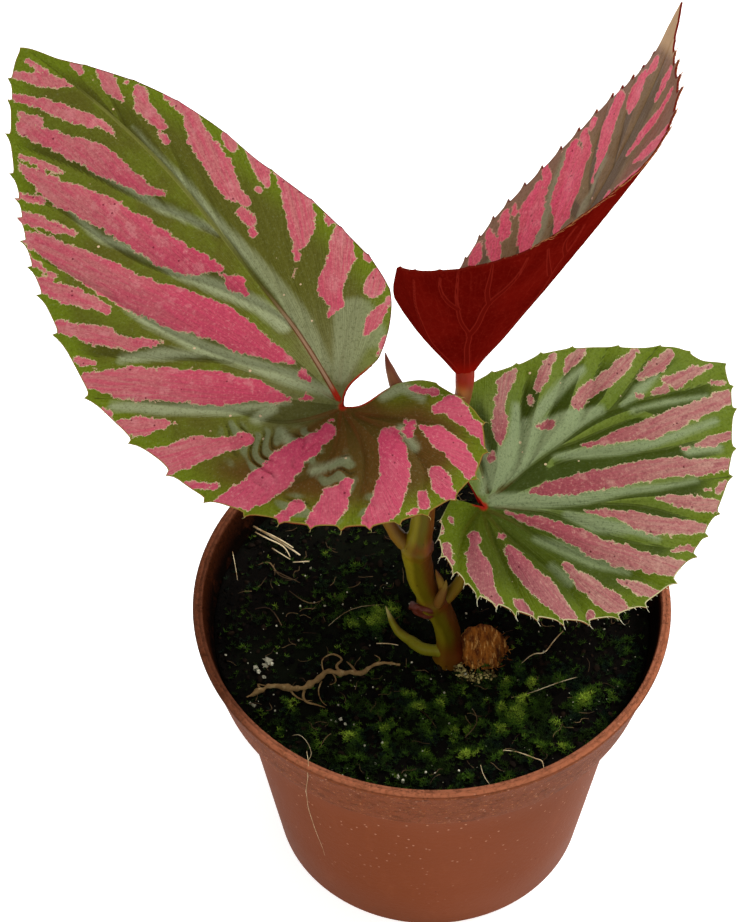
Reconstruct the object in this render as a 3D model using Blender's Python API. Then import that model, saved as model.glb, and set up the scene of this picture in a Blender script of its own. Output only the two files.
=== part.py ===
"""Potted begonia: a nursery pot of soil with one jointed cane and three toothed leaves.

The origin is the middle of the pot's underside, +Z is up and -Y is the front.
Lengths below are in millimetres and are turned into metres when a mesh is made.
"""
import math

import bmesh
import bpy
import numpy as np

MM = 0.001
GAP = 0.35

# Pot: a 12 cm round pot with a flared collar round its top.
RIM_RADIUS = 60.0
POT_HEIGHT = 86.0
COLLAR_BOTTOM = 67.0
COLLAR_FOOT_RADIUS = 55.0
BODY_TOP_RADIUS = 50.7
BASE_RADIUS = 39.5
WALL = 1.7
LIP_WIDTH = 2.4
FLOOR_TOP = 4.0
FLOOR_UNDERSIDE = 2.0
SEAT_RADIUS = 12.0
DRAIN_HOLES = 6
DRAIN_RADIUS = 4.0
DRAIN_CIRCLE = 24.0
POT_SIDES = 60

# Soil fills the pot to 9 mm below the rim.
SOIL_LEVEL = 77.0
SOIL_SIDES = 48

# Leaf blades.
BLADE_THICKNESS = 0.8
TOOTH_PITCH = 6.4

# Points on the stalks where the three blades begin.
LEFT_STALK_TIP = (-22.0, -3.0, 166.0)
RIGHT_STALK_TIP = (12.1, -4.7, 130.0)
BACK_STALK_TIP = (7.0, -0.1, 174.6)


def clear_scene():
    for item in list(bpy.data.objects):
        bpy.data.objects.remove(item, do_unlink=True)


def material(name, colour, roughness, metallic=0.0):
    """A plain Principled material, colour given as linear red, green, blue."""
    made = bpy.data.materials.new(name)
    made.use_nodes = True
    shader = made.node_tree.nodes["Principled BSDF"]
    shader.inputs["Base Color"].default_value = (*colour, 1.0)
    shader.inputs["Roughness"].default_value = roughness
    shader.inputs["Metallic"].default_value = metallic
    return made


def node_from_mesh(name, points_mm, faces, mat, smooth_angle=None):
    """One object from points in millimetres and faces given as lists of indices."""
    mesh = bpy.data.meshes.new(name)
    mesh.from_pydata([tuple(float(c) * MM for c in p) for p in points_mm], [], faces)
    mesh.update()
    mesh.validate()
    if mat is not None:
        mesh.materials.append(mat)
    if smooth_angle is not None:
        mesh.shade_smooth()
        mesh.set_sharp_from_angle(angle=math.radians(smooth_angle))
    made = bpy.data.objects.new(name, mesh)
    bpy.context.collection.objects.link(made)
    return made


def as_cutter(item):
    item.hide_render = True
    item.display_type = "WIRE"
    return item


def cut(item, cutter):
    """Take the cutter's shape out of the item."""
    step = item.modifiers.new("cut by " + cutter.name, "BOOLEAN")
    step.operation = "DIFFERENCE"
    step.solver = "EXACT"
    step.object = cutter


def monotone_curve(xs, ys):
    """A curve through (x, y) points that never swings past them."""
    xs = np.asarray(xs, float)
    ys = np.asarray(ys, float)
    step = np.diff(xs)
    slope = np.diff(ys) / step
    tangent = np.zeros(len(xs))
    for i in range(1, len(xs) - 1):
        if slope[i - 1] * slope[i] > 0:
            w1 = 2 * step[i] + step[i - 1]
            w2 = step[i] + 2 * step[i - 1]
            tangent[i] = (w1 + w2) / (w1 / slope[i - 1] + w2 / slope[i])
    tangent[0] = slope[0]
    tangent[-1] = slope[-1]

    def value(x):
        x = np.clip(np.asarray(x, float), xs[0], xs[-1])
        i = np.clip(np.searchsorted(xs, x, side="right") - 1, 0, len(step) - 1)
        t = (x - xs[i]) / step[i]
        near = (1 + 2 * t) * (1 - t) ** 2 * ys[i] + t * (1 - t) ** 2 * step[i] * tangent[i]
        far = t * t * (3 - 2 * t) * ys[i + 1] + t * t * (t - 1) * step[i] * tangent[i + 1]
        return near + far

    return value


def flowing_curve(xs, points):
    """A smooth natural cubic through points at the positions xs."""
    xs = np.asarray(xs, float)
    points = np.asarray(points, float)
    n = len(xs)
    h = np.diff(xs)
    system = np.eye(n)
    right = np.zeros_like(points)
    for i in range(1, n - 1):
        system[i, i - 1] = h[i - 1]
        system[i, i] = 2 * (h[i - 1] + h[i])
        system[i, i + 1] = h[i]
        right[i] = 6 * ((points[i + 1] - points[i]) / h[i] - (points[i] - points[i - 1]) / h[i - 1])
    bend = np.linalg.solve(system, right)

    def value(x):
        x = np.asarray(x, float)
        i = np.clip(np.searchsorted(xs, x, side="right") - 1, 0, n - 2)
        a = (xs[i + 1] - x)[..., None]
        b = (x - xs[i])[..., None]
        w = h[i][..., None]
        cubic = (bend[i] * a ** 3 + bend[i + 1] * b ** 3) / (6 * w)
        line = (points[i] / w - bend[i] * w / 6) * a + (points[i + 1] / w - bend[i + 1] * w / 6) * b
        return cubic + line

    return value


def unit(vectors):
    vectors = np.asarray(vectors, float)
    return vectors / np.linalg.norm(vectors, axis=-1, keepdims=True)


def turned(profile, sides):
    """Points and faces of a profile (radius, height) turned about Z, on the axis at both ends."""
    points = [(0.0, 0.0, profile[0][1])]
    rings = []
    for radius, height in profile[1:-1]:
        rings.append(len(points))
        for k in range(sides):
            turn = 2 * math.pi * k / sides
            points.append((radius * math.cos(turn), radius * math.sin(turn), height))
    last = len(points)
    points.append((0.0, 0.0, profile[-1][1]))
    faces = []
    for k in range(sides):
        nxt = (k + 1) % sides
        faces.append((0, rings[0] + nxt, rings[0] + k))
        faces.append((last, rings[-1] + k, rings[-1] + nxt))
        for low, high in zip(rings[:-1], rings[1:]):
            faces.append((low + k, low + nxt, high + nxt, high + k))
    return points, faces


def tube(path, sides, rings):
    """Points and faces of a round tube along (x, y, z, radius) points, closed at both ends."""
    path = np.asarray(path, float)
    length = np.concatenate([[0], np.cumsum(np.linalg.norm(np.diff(path[:, :3], axis=0), axis=1))])
    line = flowing_curve(length, path[:, :3])
    thickness = monotone_curve(length, path[:, 3])
    at = np.linspace(0, length[-1], rings)
    centres = line(at)
    radii = thickness(at)
    along = unit(np.gradient(centres, axis=0))
    side = unit(np.cross(along[0], (0.3, 0.9, 0.1)))
    points = []
    for centre, radius, forward in zip(centres, radii, along):
        side = unit(side - forward * np.dot(side, forward))
        other = np.cross(forward, side)
        for k in range(sides):
            turn = 2 * math.pi * k / sides
            points.append(centre + radius * (math.cos(turn) * side + math.sin(turn) * other))
    faces = []
    for ring in range(rings - 1):
        low = ring * sides
        for k in range(sides):
            nxt = (k + 1) % sides
            faces.append((low + k, low + nxt, low + sides + nxt, low + sides + k))
    start = len(points)
    points.append(centres[0])
    points.append(centres[-1] + along[-1] * radii[-1] * 0.5)
    top = (rings - 1) * sides
    for k in range(sides):
        nxt = (k + 1) % sides
        faces.append((start, nxt, k))
        faces.append((start + 1, top + k, top + nxt))
    return points, faces


def make_pot(mat, cutter_mat):
    inner_collar = RIM_RADIUS - LIP_WIDTH
    profile = [
        (0.0, 0.0),
        (SEAT_RADIUS, 0.0),
        (SEAT_RADIUS + 1.5, FLOOR_UNDERSIDE),
        (34.0, FLOOR_UNDERSIDE),
        (35.6, 0.0),
        (BASE_RADIUS - 0.9, 0.0),
        (BASE_RADIUS, 0.9),
        (BODY_TOP_RADIUS, COLLAR_BOTTOM),
        (COLLAR_FOOT_RADIUS - 0.5, COLLAR_BOTTOM),
        (COLLAR_FOOT_RADIUS, COLLAR_BOTTOM + 0.5),
        (RIM_RADIUS, POT_HEIGHT - 1.2),
        (RIM_RADIUS - 0.4, POT_HEIGHT - 0.3),
        (RIM_RADIUS - 1.1, POT_HEIGHT),
        (inner_collar + 0.4, POT_HEIGHT - 0.1),
        (inner_collar, POT_HEIGHT - 0.6),
        (COLLAR_FOOT_RADIUS - WALL, COLLAR_BOTTOM + 2.0),
        (BODY_TOP_RADIUS - WALL, COLLAR_BOTTOM + 1.4),
        (BASE_RADIUS - WALL + 0.6, FLOOR_TOP + 2.0),
        (BASE_RADIUS - WALL - 1.2, FLOOR_TOP),
        (0.0, FLOOR_TOP),
    ]
    points, faces = turned(profile, POT_SIDES)
    pot = node_from_mesh("pot", points, faces, mat, 35)
    holes, hole_faces = [], []
    for number in range(DRAIN_HOLES):
        turn = 2 * math.pi * (number + 0.5) / DRAIN_HOLES
        x = DRAIN_CIRCLE * math.cos(turn)
        y = DRAIN_CIRCLE * math.sin(turn)
        drill = [(0.0, 0.0), (DRAIN_RADIUS, 0.0), (DRAIN_RADIUS, 8.0), (0.0, 8.0)]
        drill_points, drill_faces = turned(drill, 14)
        first = len(holes)
        holes += [(px + x, py + y, pz - 1.0) for px, py, pz in drill_points]
        hole_faces += [tuple(first + i for i in face) for face in drill_faces]
    drills = as_cutter(node_from_mesh("drain drills", holes, hole_faces, cutter_mat))
    cut(pot, drills)
    return pot


def soil_height(x, y):
    """Uneven top of the soil: long low swells and a little heap round the cane."""
    swell = 0.45 * math.sin(0.13 * x + 0.7) * math.cos(0.11 * y - 0.4)
    swell += 0.35 * math.sin(0.29 * x - 0.21 * y + 1.9)
    swell += 0.25 * math.cos(0.23 * x + 0.37 * y)
    heap = 0.7 * math.exp(-((x - 8) ** 2 + (y + 8) ** 2) / 180.0)
    edge = max(0.0, math.hypot(x, y) - 42.0) / 12.0
    return SOIL_LEVEL + swell + heap - 0.8 * edge


def make_soil(mat):
    foot = BASE_RADIUS - WALL - 1.2
    side = [
        (foot - GAP, FLOOR_TOP + GAP),
        (BASE_RADIUS - WALL + 0.6 - GAP, FLOOR_TOP + 2.0 + GAP),
        (BODY_TOP_RADIUS - WALL - GAP, COLLAR_BOTTOM + 1.4 + GAP),
        (COLLAR_FOOT_RADIUS - WALL - GAP, COLLAR_BOTTOM + 2.0 + GAP),
    ]
    slope = (RIM_RADIUS - LIP_WIDTH - COLLAR_FOOT_RADIUS + WALL) / (POT_HEIGHT - 0.6 - COLLAR_BOTTOM - 2.0)
    top_radius = COLLAR_FOOT_RADIUS - WALL - GAP + slope * (SOIL_LEVEL - 1.2 - COLLAR_BOTTOM - 2.0)
    points = [(0.0, 0.0, FLOOR_TOP + GAP)]
    rings = []
    for radius, height in side:
        rings.append(len(points))
        for k in range(SOIL_SIDES):
            turn = 2 * math.pi * k / SOIL_SIDES
            points.append((radius * math.cos(turn), radius * math.sin(turn), height))
    for radius in (top_radius, 47.0, 38.0, 29.0, 20.0, 11.0, 4.5):
        rings.append(len(points))
        for k in range(SOIL_SIDES):
            turn = 2 * math.pi * k / SOIL_SIDES
            x = radius * math.cos(turn)
            y = radius * math.sin(turn)
            points.append((x, y, soil_height(x, y)))
    last = len(points)
    points.append((0.0, 0.0, soil_height(0.0, 0.0)))
    faces = []
    for k in range(SOIL_SIDES):
        nxt = (k + 1) % SOIL_SIDES
        faces.append((0, rings[0] + nxt, rings[0] + k))
        faces.append((last, rings[-1] + k, rings[-1] + nxt))
        for low, high in zip(rings[:-1], rings[1:]):
            faces.append((low + k, low + nxt, high + nxt))
            faces.append((low + k, high + nxt, high + k))
    return node_from_mesh("soil", points, faces, mat)


# The cane: x, y, z and radius from its foot in the soil up to the top joint.
CANE = [
    (5.2, -10.2, 60.0, 2.8),
    (4.8, -10.2, 70.0, 3.1),
    (4.5, -10.2, 78.0, 3.5),
    (4.1, -9.7, 83.0, 3.0),
    (2.8, -9.0, 91.0, 3.1),
    (0.7, -8.4, 96.5, 3.7),
    (-0.2, -8.4, 99.0, 3.9),
    (-1.7, -8.9, 103.0, 3.2),
    (-3.4, -10.3, 112.5, 3.45),
    (-4.1, -11.7, 121.0, 3.8),
    (-4.0, -12.1, 124.5, 4.0),
    (-3.3, -12.2, 128.5, 2.9),
    (-2.6, -11.4, 138.0, 2.8),
    (-1.5, -8.6, 149.0, 2.9),
    (-0.8, -6.8, 156.0, 3.5),
    (-0.6, -6.2, 159.5, 2.6),
    (-0.6, -6.0, 161.0, 1.2),
]
# Stalks, buds and shoots begin inside the cane and are trimmed to its surface.
LEFT_STALK = [
    (-4.2, -12.1, 123.4, 2.0),
    (-7.6, -12.1, 126.0, 1.9),
    (-10.4, -11.9, 131.5, 1.65),
    (-14.4, -10.6, 142.0, 1.55),
    (-19.0, -6.6, 155.0, 1.55),
]
RIGHT_STALK = [
    (1.0, -8.4, 98.2, 1.9),
    (4.4, -8.3, 100.2, 1.7),
    (7.0, -8.0, 105.5, 1.5),
    (10.2, -6.6, 116.0, 1.45),
    (11.8, -5.4, 124.0, 1.45),
]
BACK_STALK = [
    (-0.6, -6.3, 158.4, 2.0),
    (3.3, -3.6, 160.5, 2.0),
    (6.1, -0.6, 164.6, 2.05),
    (6.9, -0.2, 169.5, 2.1),
    (7.0, -0.1, 174.3, 2.15),
]
TOP_BUD = [
    (-2.4, -5.4, 158.4, 1.7),
    (-5.6, -1.4, 162.0, 1.9),
    (-8.8, 2.2, 166.4, 1.7),
    (-10.6, 3.9, 171.0, 1.1),
    (-11.8, 4.7, 175.6, 0.25),
]
BASE_SHOOT = [
    (4.0, -10.4, 80.2, 1.5),
    (0.4, -11.0, 80.4, 1.45),
    (-3.0, -10.3, 80.7, 1.4),
    (-6.1, -7.8, 80.9, 1.3),
    (-8.5, -5.9, 81.8, 1.1),
    (-10.0, -4.1, 83.4, 0.75),
    (-11.5, -1.9, 86.4, 0.25),
]
OLD_STUB = [
    (11.6, -4.6, 66.0, 4.2),
    (12.0, -6.2, 72.0, 5.0),
    (12.8, -8.6, 76.8, 5.9),
    (13.3, -9.6, 79.0, 6.1),
    (13.6, -10.2, 80.2, 5.3),
    (13.7, -10.5, 80.8, 3.2),
]
SURFACE_ROOT = [
    (-5.6, -13.4, 1.1),
    (-10.5, -14.2, 1.15),
    (-16.0, -14.6, 1.1),
    (-21.5, -17.2, 1.0),
    (-27.0, -19.2, 0.95),
    (-34.0, -19.6, 0.8),
    (-41.0, -20.8, 0.65),
    (-46.0, -22.0, 0.45),
]


def widened(path, extra):
    """The same path with more radius, begun a little lower so that its foot is clear too."""
    x, y, z, radius = path[0]
    foot = (x, y, z - 2 * extra, radius + extra)
    return [foot] + [(x, y, z, radius + extra) for x, y, z, radius in path]


def onto_blade(path, tip, facing, radius, above=0.15):
    """Lead a stalk square through the notch at the foot of a blade."""
    tip = np.asarray(tip, float)
    facing = unit(facing)
    for depth in (3.6, 1.4, -above):
        path = path + [(*(tip - facing * depth), radius)]
    return path


def scale_leaf(name, centre, size, turn, cutter, mat):
    """A small clasping scale: a flattened ball turned into place against the cane."""
    shell = bmesh.new()
    bmesh.ops.create_uvsphere(shell, u_segments=12, v_segments=8, radius=MM)
    bmesh.ops.scale(shell, vec=size, verts=shell.verts)
    mesh = bpy.data.meshes.new(name)
    shell.to_mesh(mesh)
    shell.free()
    mesh.materials.append(mat)
    mesh.shade_smooth()
    made = bpy.data.objects.new(name, mesh)
    bpy.context.collection.objects.link(made)
    made.location = [c * MM for c in centre]
    made.rotation_euler = [math.radians(a) for a in turn]
    cut(made, cutter)
    return made


# Outlines: (bearing in degrees from the midrib, + to the leaf's left, and reach in mm).
LEFT_OUTLINE = [
    (-76, 14), (-69, 22), (-61, 30), (-51, 36), (-40, 43), (-29, 54), (-20, 67), (-14, 83),
    (-9, 98), (-4, 113), (-1, 123), (1.5, 133), (7, 122), (12, 111), (16, 102), (22, 92),
    (29, 81), (36, 72), (46, 62.5), (55, 54), (66, 46), (78, 41.5), (92, 36), (112, 31), (139, 29),
    (166, 31), (179, 33), (193, 35), (206, 36), (217, 35), (227, 32), (237, 26), (248, 20), (253, 14),
]
RIGHT_OUTLINE = [
    (-226, 8), (-208, 9.5), (-188, 12), (-172, 15), (-157, 17), (-143, 19), (-128, 23), (-114, 26),
    (-104, 29), (-91, 34), (-80, 39), (-69, 44), (-60, 48), (-51, 51), (-44, 54), (-37, 57),
    (-30, 61), (-22, 65), (-14, 69), (-5, 74), (-2, 75), (1, 71), (6, 68), (12, 60), (20, 53),
    (33, 44), (40, 39), (50, 35), (62, 31), (76, 27), (86, 20),
]
BACK_OUTLINE = [
    (-136, 24), (-121, 28.5), (-108, 31.8), (-87, 33.6), (-71, 35.8), (-58, 40.5), (-49, 45.7),
    (-39, 55.8), (-30, 65), (-22, 72), (-16, 80), (-11, 85), (-6, 87.5), (-2.5, 91), (0, 98),
    (3, 86.5), (8, 79.3), (14, 73.7), (22, 65.6), (32, 56.2), (47, 45.5), (59, 36.5), (68, 31.6),
    (78, 26.5), (88, 21),
]
# Directions in which the back leaf's rays leave its stalk: bearing, then x, y, z.
BACK_RAYS = [
    (-136, -0.84, 0.25, 0.49), (-107, -0.61, -0.07, 0.79), (-78, -0.17, -0.14, 0.98),
    (-53, 0.25, -0.05, 0.97), (-33, 0.52, 0.13, 0.84), (-16, 0.68, 0.31, 0.66),
    (0, 0.67, 0.54, 0.51), (20, 0.52, 0.79, 0.32), (51, 0.14, 0.99, 0.01),
    (73, -0.17, 0.96, -0.22), (94, -0.49, 0.82, -0.30),
]
# How strongly those rays bend towards the upper face: bearing, mm per square mm.
BACK_BEND = [(-136, 0.0119), (-116, 0.0119), (-76, 0.0054), (-40, 0.0), (0, 0.0023), (58, 0.0011), (94, 0.0028)]
# Bearings of the main veins, which lie in the valleys of each blade.
LEFT_VEINS = (-62, -30, 0, 33, 66, 104, 146, 190, 228)
RIGHT_VEINS = (-196, -152, -112, -76, -42, 0, 38, 70)
BACK_VEINS = (-112, -72, -34, 0, 36, 70)


def bent_sheet(tip, heading, climb, roll, across, droop):
    """Placing rule of a leaf that arches over its midrib and curls down to both sides.

    across and droop are the turning in degrees per 10 mm; roll lifts the left half.
    """
    heading, climb, roll = (math.radians(a) for a in (heading, climb, roll))
    midrib = np.array([
        math.cos(heading) * math.cos(climb),
        math.sin(heading) * math.cos(climb),
        math.sin(climb),
    ])
    level = np.array([-math.sin(heading), math.cos(heading), 0.0])
    square = np.cross(midrib, level)
    left = level * math.cos(roll) + square * math.sin(roll)
    up = square * math.cos(roll) - level * math.sin(roll)
    side_curve = -math.radians(across) / 10
    rib_curve = -math.radians(droop) / 10

    def place(bearing, reach):
        bearing = np.radians(bearing)
        along = reach * np.cos(bearing)
        sideways = reach * np.sin(bearing)
        width = np.sin(side_curve * np.abs(sideways)) / side_curve * np.sign(sideways)
        sag = (1 - np.cos(side_curve * sideways)) / side_curve
        angle = rib_curve * np.abs(along)
        forward = np.sin(angle) / rib_curve * np.sign(along)
        drop = (1 - np.cos(angle)) / rib_curve
        lean = angle * np.sign(along)
        x = forward - sag * np.sin(lean)
        z = drop + sag * np.cos(lean)
        return np.asarray(tip) + x[..., None] * midrib + width[..., None] * left + z[..., None] * up

    place.facing = up
    return place


def open_funnel(tip, rays, bend):
    """Placing rule of a leaf folded up into a trough, ray by ray from its stalk."""
    aim = flowing_curve([r[0] for r in rays], [r[1:] for r in rays])
    lift = monotone_curve([b[0] for b in bend], [b[1] for b in bend])

    def place(bearing, reach):
        bearing = np.asarray(bearing, float)
        ray = unit(aim(bearing))
        turn = unit(aim(bearing + 0.5)) - unit(aim(bearing - 0.5))
        upper = unit(np.cross(ray, turn))
        bent = (lift(bearing) * reach * reach)[..., None] * upper
        return np.asarray(tip) + reach[..., None] * ray + bent

    place.facing = np.array([0.0, 0.0, 1.0])
    return place


def toothed_margin(outline, tooth_height):
    """Bearings round the margin, the smooth reach there and the tooth added to it."""
    smooth = monotone_curve([p[0] for p in outline], [p[1] for p in outline])
    peak = max(outline, key=lambda p: p[1])[0]
    bearings, added = [peak], [0.0]
    for end in (outline[0][0], outline[-1][0]):
        fine = np.linspace(peak, end, 900)
        reach = smooth(fine)
        x = reach * np.cos(np.radians(fine))
        y = reach * np.sin(np.radians(fine))
        run = np.concatenate([[0], np.cumsum(np.hypot(np.diff(x), np.diff(y)))])
        teeth = int(round(run[-1] / TOOTH_PITCH))
        pitch = run[-1] / teeth
        for number in range(teeth):
            point = np.interp(pitch * (number + 0.38), run, fine)
            notch = np.interp(pitch * (number + 1.0), run, fine)
            height = tooth_height * (0.45 if number == 0 else 1.0)
            bearings += [float(point), float(notch)]
            added += [0.6 * height, -0.4 * height if number < teeth - 1 else 0.0]
    order = np.argsort(bearings)
    bearings = np.asarray(bearings)[order]
    added = np.asarray(added)[order]
    return bearings, smooth(bearings), added


def pleats(bearings, shares, veins, height):
    """Swelling of the blade between its main veins, in mm above the smooth sheet."""
    veins = np.asarray(veins, float)
    i = np.clip(np.searchsorted(veins, bearings, side="right") - 1, 0, len(veins) - 2)
    part = np.clip((bearings - veins[i]) / (veins[i + 1] - veins[i]), 0, 1)
    swell = np.sin(math.pi * part) ** 0.8
    rise = np.sin(math.pi * np.clip(shares, 0, 1) ** 0.8) * 0.85 + 0.15 * shares
    return height * (swell[:, None] - 0.45) * rise[None, :]


def make_blade(name, place, outline, veins, pleat_height, tooth_height, foot, mat):
    """A thin toothed blade, open in a notch where its stalk comes in."""
    bearings, reach, added = toothed_margin(outline, tooth_height)
    shares = np.array([0.0, 0.17, 0.36, 0.57, 0.79, 1.0])
    grid_reach = foot + (reach[:, None] - foot) * shares[None, :]
    grid_reach[:, -1] += added
    grid_bearing = np.repeat(bearings[:, None], len(shares), axis=1)
    middle = place(grid_bearing, grid_reach)
    tangent = np.gradient(middle, axis=0)
    outward = np.gradient(middle, axis=1)
    normal = unit(np.cross(outward, tangent))
    middle = middle + pleats(bearings, shares, veins, pleat_height)[..., None] * normal
    tangent = np.gradient(middle, axis=0)
    outward = np.gradient(middle, axis=1)
    normal = unit(np.cross(outward, tangent))
    rows, columns = middle.shape[:2]
    upper = (middle + normal * BLADE_THICKNESS / 2).reshape(-1, 3)
    under = (middle - normal * BLADE_THICKNESS / 2).reshape(-1, 3)
    half = rows * columns
    faces = []

    def top(i, j):
        return i * columns + j

    def low(i, j):
        return half + i * columns + j

    def wall(a, b):
        """A strip down the edge of the blade from a to b, given as (i, j)."""
        faces.append((top(*a), top(*b), low(*b)))
        faces.append((top(*a), low(*b), low(*a)))

    for i in range(rows - 1):
        for j in range(columns - 1):
            faces.append((top(i, j), top(i, j + 1), top(i + 1, j + 1)))
            faces.append((top(i, j), top(i + 1, j + 1), top(i + 1, j)))
            faces.append((low(i, j), low(i + 1, j + 1), low(i, j + 1)))
            faces.append((low(i, j), low(i + 1, j), low(i + 1, j + 1)))
        wall((i + 1, columns - 1), (i, columns - 1))
        wall((i, 0), (i + 1, 0))
    for j in range(columns - 1):
        wall((0, j + 1), (0, j))
        wall((rows - 1, j), (rows - 1, j + 1))
    return node_from_mesh(name, np.vstack([upper, under]), faces, mat)


def main():
    clear_scene()
    clay = material("pot plastic", (0.27, 0.075, 0.040), 0.45)
    earth = material("dark soil", (0.010, 0.008, 0.005), 0.95)
    cane_skin = material("olive cane skin", (0.075, 0.060, 0.008), 0.5)
    red_stalk = material("red stalk skin", (0.26, 0.030, 0.010), 0.45)
    green_stalk = material("green stalk skin", (0.11, 0.085, 0.012), 0.5)
    blade_skin = material("olive leaf skin", (0.14, 0.12, 0.055), 0.4)
    back_skin = material("crimson leaf skin", (0.20, 0.015, 0.008), 0.4)
    bud_skin = material("brown bud skin", (0.14, 0.05, 0.025), 0.55)
    cork = material("corky stub", (0.16, 0.05, 0.010), 0.9)
    shoot_skin = material("green shoot skin", (0.13, 0.13, 0.012), 0.45)
    scale_skin = material("russet scale", (0.14, 0.022, 0.008), 0.55)
    root_skin = material("brown root", (0.15, 0.09, 0.045), 0.8)

    make_pot(clay, None)
    soil = make_soil(earth)
    node_from_mesh("cane", *tube(CANE, 14, 30), cane_skin, 60)
    around_cane = as_cutter(node_from_mesh("room round the cane", *tube(widened(CANE, GAP), 14, 30), None))
    around_stub = as_cutter(node_from_mesh("room round the stub", *tube(widened(OLD_STUB, GAP + 0.1), 14, 14), None))
    cut(soil, around_cane)
    cut(soil, around_stub)

    left_place = bent_sheet(LEFT_STALK_TIP, 130.2, 15.7, -23.9, 1.5, 1.5)
    right_place = bent_sheet(RIGHT_STALK_TIP, 36.6, 5.5, 21.8, 1.0, 1.2)
    back_place = open_funnel(BACK_STALK_TIP, BACK_RAYS, BACK_BEND)
    stalks = (
        ("left_stalk", onto_blade(LEFT_STALK, LEFT_STALK_TIP, left_place.facing, 1.45), red_stalk),
        ("right_stalk", onto_blade(RIGHT_STALK, RIGHT_STALK_TIP, right_place.facing, 1.4), green_stalk),
        ("back_stalk", BACK_STALK, red_stalk),
        ("top_bud", TOP_BUD, bud_skin),
        ("base_shoot", BASE_SHOOT, shoot_skin),
        ("old_stub", OLD_STUB, cork),
    )
    for name, path, skin in stalks:
        stalk = node_from_mesh(name, *tube(path, 14 if name == "old_stub" else 10, 14), skin, 60)
        cut(stalk, around_cane)
    make_blade("left_leaf", left_place, LEFT_OUTLINE, LEFT_VEINS, 1.2, 1.3, 2.0, blade_skin)
    make_blade("right_leaf", right_place, RIGHT_OUTLINE, RIGHT_VEINS, 1.8, 1.0, 2.0, blade_skin)
    make_blade("back_leaf", back_place, BACK_OUTLINE, BACK_VEINS, 0.6, 1.0, 3.1, back_skin)

    scale_leaf("russet_scale", (-2.3, -11.2, 96.4), (3.2, 1.5, 2.5), (20, -12, -22), around_cane, scale_skin)
    scale_leaf("pink_scale", (1.6, -11.4, 103.4), (1.3, 0.8, 3.0), (12, 14, 20), around_cane, bud_skin)

    root = [(x, y, soil_height(x, y) + radius + 0.45, radius) for x, y, radius in SURFACE_ROOT]
    node_from_mesh("surface_root", *tube(root, 8, 22), root_skin, 60)


main()
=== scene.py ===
# %% [markdown]
# A potted begonia, dressed for its portrait
#
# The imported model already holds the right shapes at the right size: a pot, its soil, a jointed cane,
# three leaves on their stalks and a few small parts. This notebook gives each of them its finished
# surface. We load that frame first, because every new piece is placed from it and rides with it.

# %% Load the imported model
import math

import bpy
import numpy as np
from mathutils import Euler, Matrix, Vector, noise


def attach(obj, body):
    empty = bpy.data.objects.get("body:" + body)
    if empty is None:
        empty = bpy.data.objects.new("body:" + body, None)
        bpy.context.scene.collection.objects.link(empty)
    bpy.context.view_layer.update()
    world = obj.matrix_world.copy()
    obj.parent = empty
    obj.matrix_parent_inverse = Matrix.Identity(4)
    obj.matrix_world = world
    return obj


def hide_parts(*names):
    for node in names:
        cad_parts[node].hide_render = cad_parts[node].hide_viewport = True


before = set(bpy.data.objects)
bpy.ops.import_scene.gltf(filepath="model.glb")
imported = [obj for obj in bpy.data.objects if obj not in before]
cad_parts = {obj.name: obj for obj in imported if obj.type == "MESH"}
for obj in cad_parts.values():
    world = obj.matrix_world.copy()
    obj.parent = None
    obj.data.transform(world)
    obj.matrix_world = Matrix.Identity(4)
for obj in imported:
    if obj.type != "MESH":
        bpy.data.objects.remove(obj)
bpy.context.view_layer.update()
MM = 0.001
print("nodes in the frame:", len(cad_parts))

# %% [markdown]
# Small tools of the bench
#
# Operators act on whatever is selected, so each step begins with nothing selected. The few helpers
# here do that, join pieces, and hang a finished piece on the pot's body.

# %% Selecting, joining and handing over a piece


def deselect_all():
    if bpy.context.object is not None and bpy.context.object.mode != "OBJECT":
        bpy.ops.object.mode_set(mode="OBJECT")
    bpy.ops.object.select_all(action="DESELECT")


def pick(piece):
    deselect_all()
    piece.select_set(True)
    bpy.context.view_layer.objects.active = piece


def smooth(piece):
    pick(piece)
    bpy.ops.object.shade_smooth()


def fix_place(piece):
    """Move the object's place, turn and size into its mesh."""
    pick(piece)
    bpy.ops.object.transform_apply(location=True, rotation=True, scale=True)


def face_outwards(piece):
    pick(piece)
    bpy.ops.object.mode_set(mode="EDIT")
    bpy.ops.mesh.select_all(action="SELECT")
    bpy.ops.mesh.remove_doubles(threshold=0.000002)
    bpy.ops.mesh.normals_make_consistent(inside=False)
    bpy.ops.object.mode_set(mode="OBJECT")


def join(name, parts):
    deselect_all()
    for part in parts:
        part.select_set(True)
    bpy.context.view_layer.objects.active = parts[0]
    bpy.ops.object.join()
    parts[0].name = name
    return parts[0]


def apply_modifiers(piece):
    pick(piece)
    for step in list(piece.modifiers):
        bpy.ops.object.modifier_apply(modifier=step.name)


def hand_over(piece, slot, *nodes):
    """The piece rides on the pot's body and stands for the CAD nodes it is named with."""
    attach(piece, "root")
    if nodes:
        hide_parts(*nodes)
    print(piece.name, "has", len(piece.data.polygons), "faces")


def dress(piece, skin, slot, *nodes):
    """Give a piece its one material and hand it over."""
    piece.data.materials.clear()
    piece.data.materials.append(skin.material)
    hand_over(piece, slot, *nodes)


def points_of(piece):
    """The piece's points as an array, in millimetres."""
    flat = np.empty(len(piece.data.vertices) * 3)
    piece.data.vertices.foreach_get("co", flat)
    return flat.reshape(-1, 3) / MM


def set_points(piece, points):
    piece.data.vertices.foreach_set("co", (np.asarray(points) * MM).ravel())
    piece.data.update()


def mark(piece, name, values):
    """Store one number for each point, for a material to read."""
    layer = piece.data.attributes.new(name, "FLOAT", "POINT")
    layer.data.foreach_set("value", np.asarray(values, dtype=np.float32))


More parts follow.
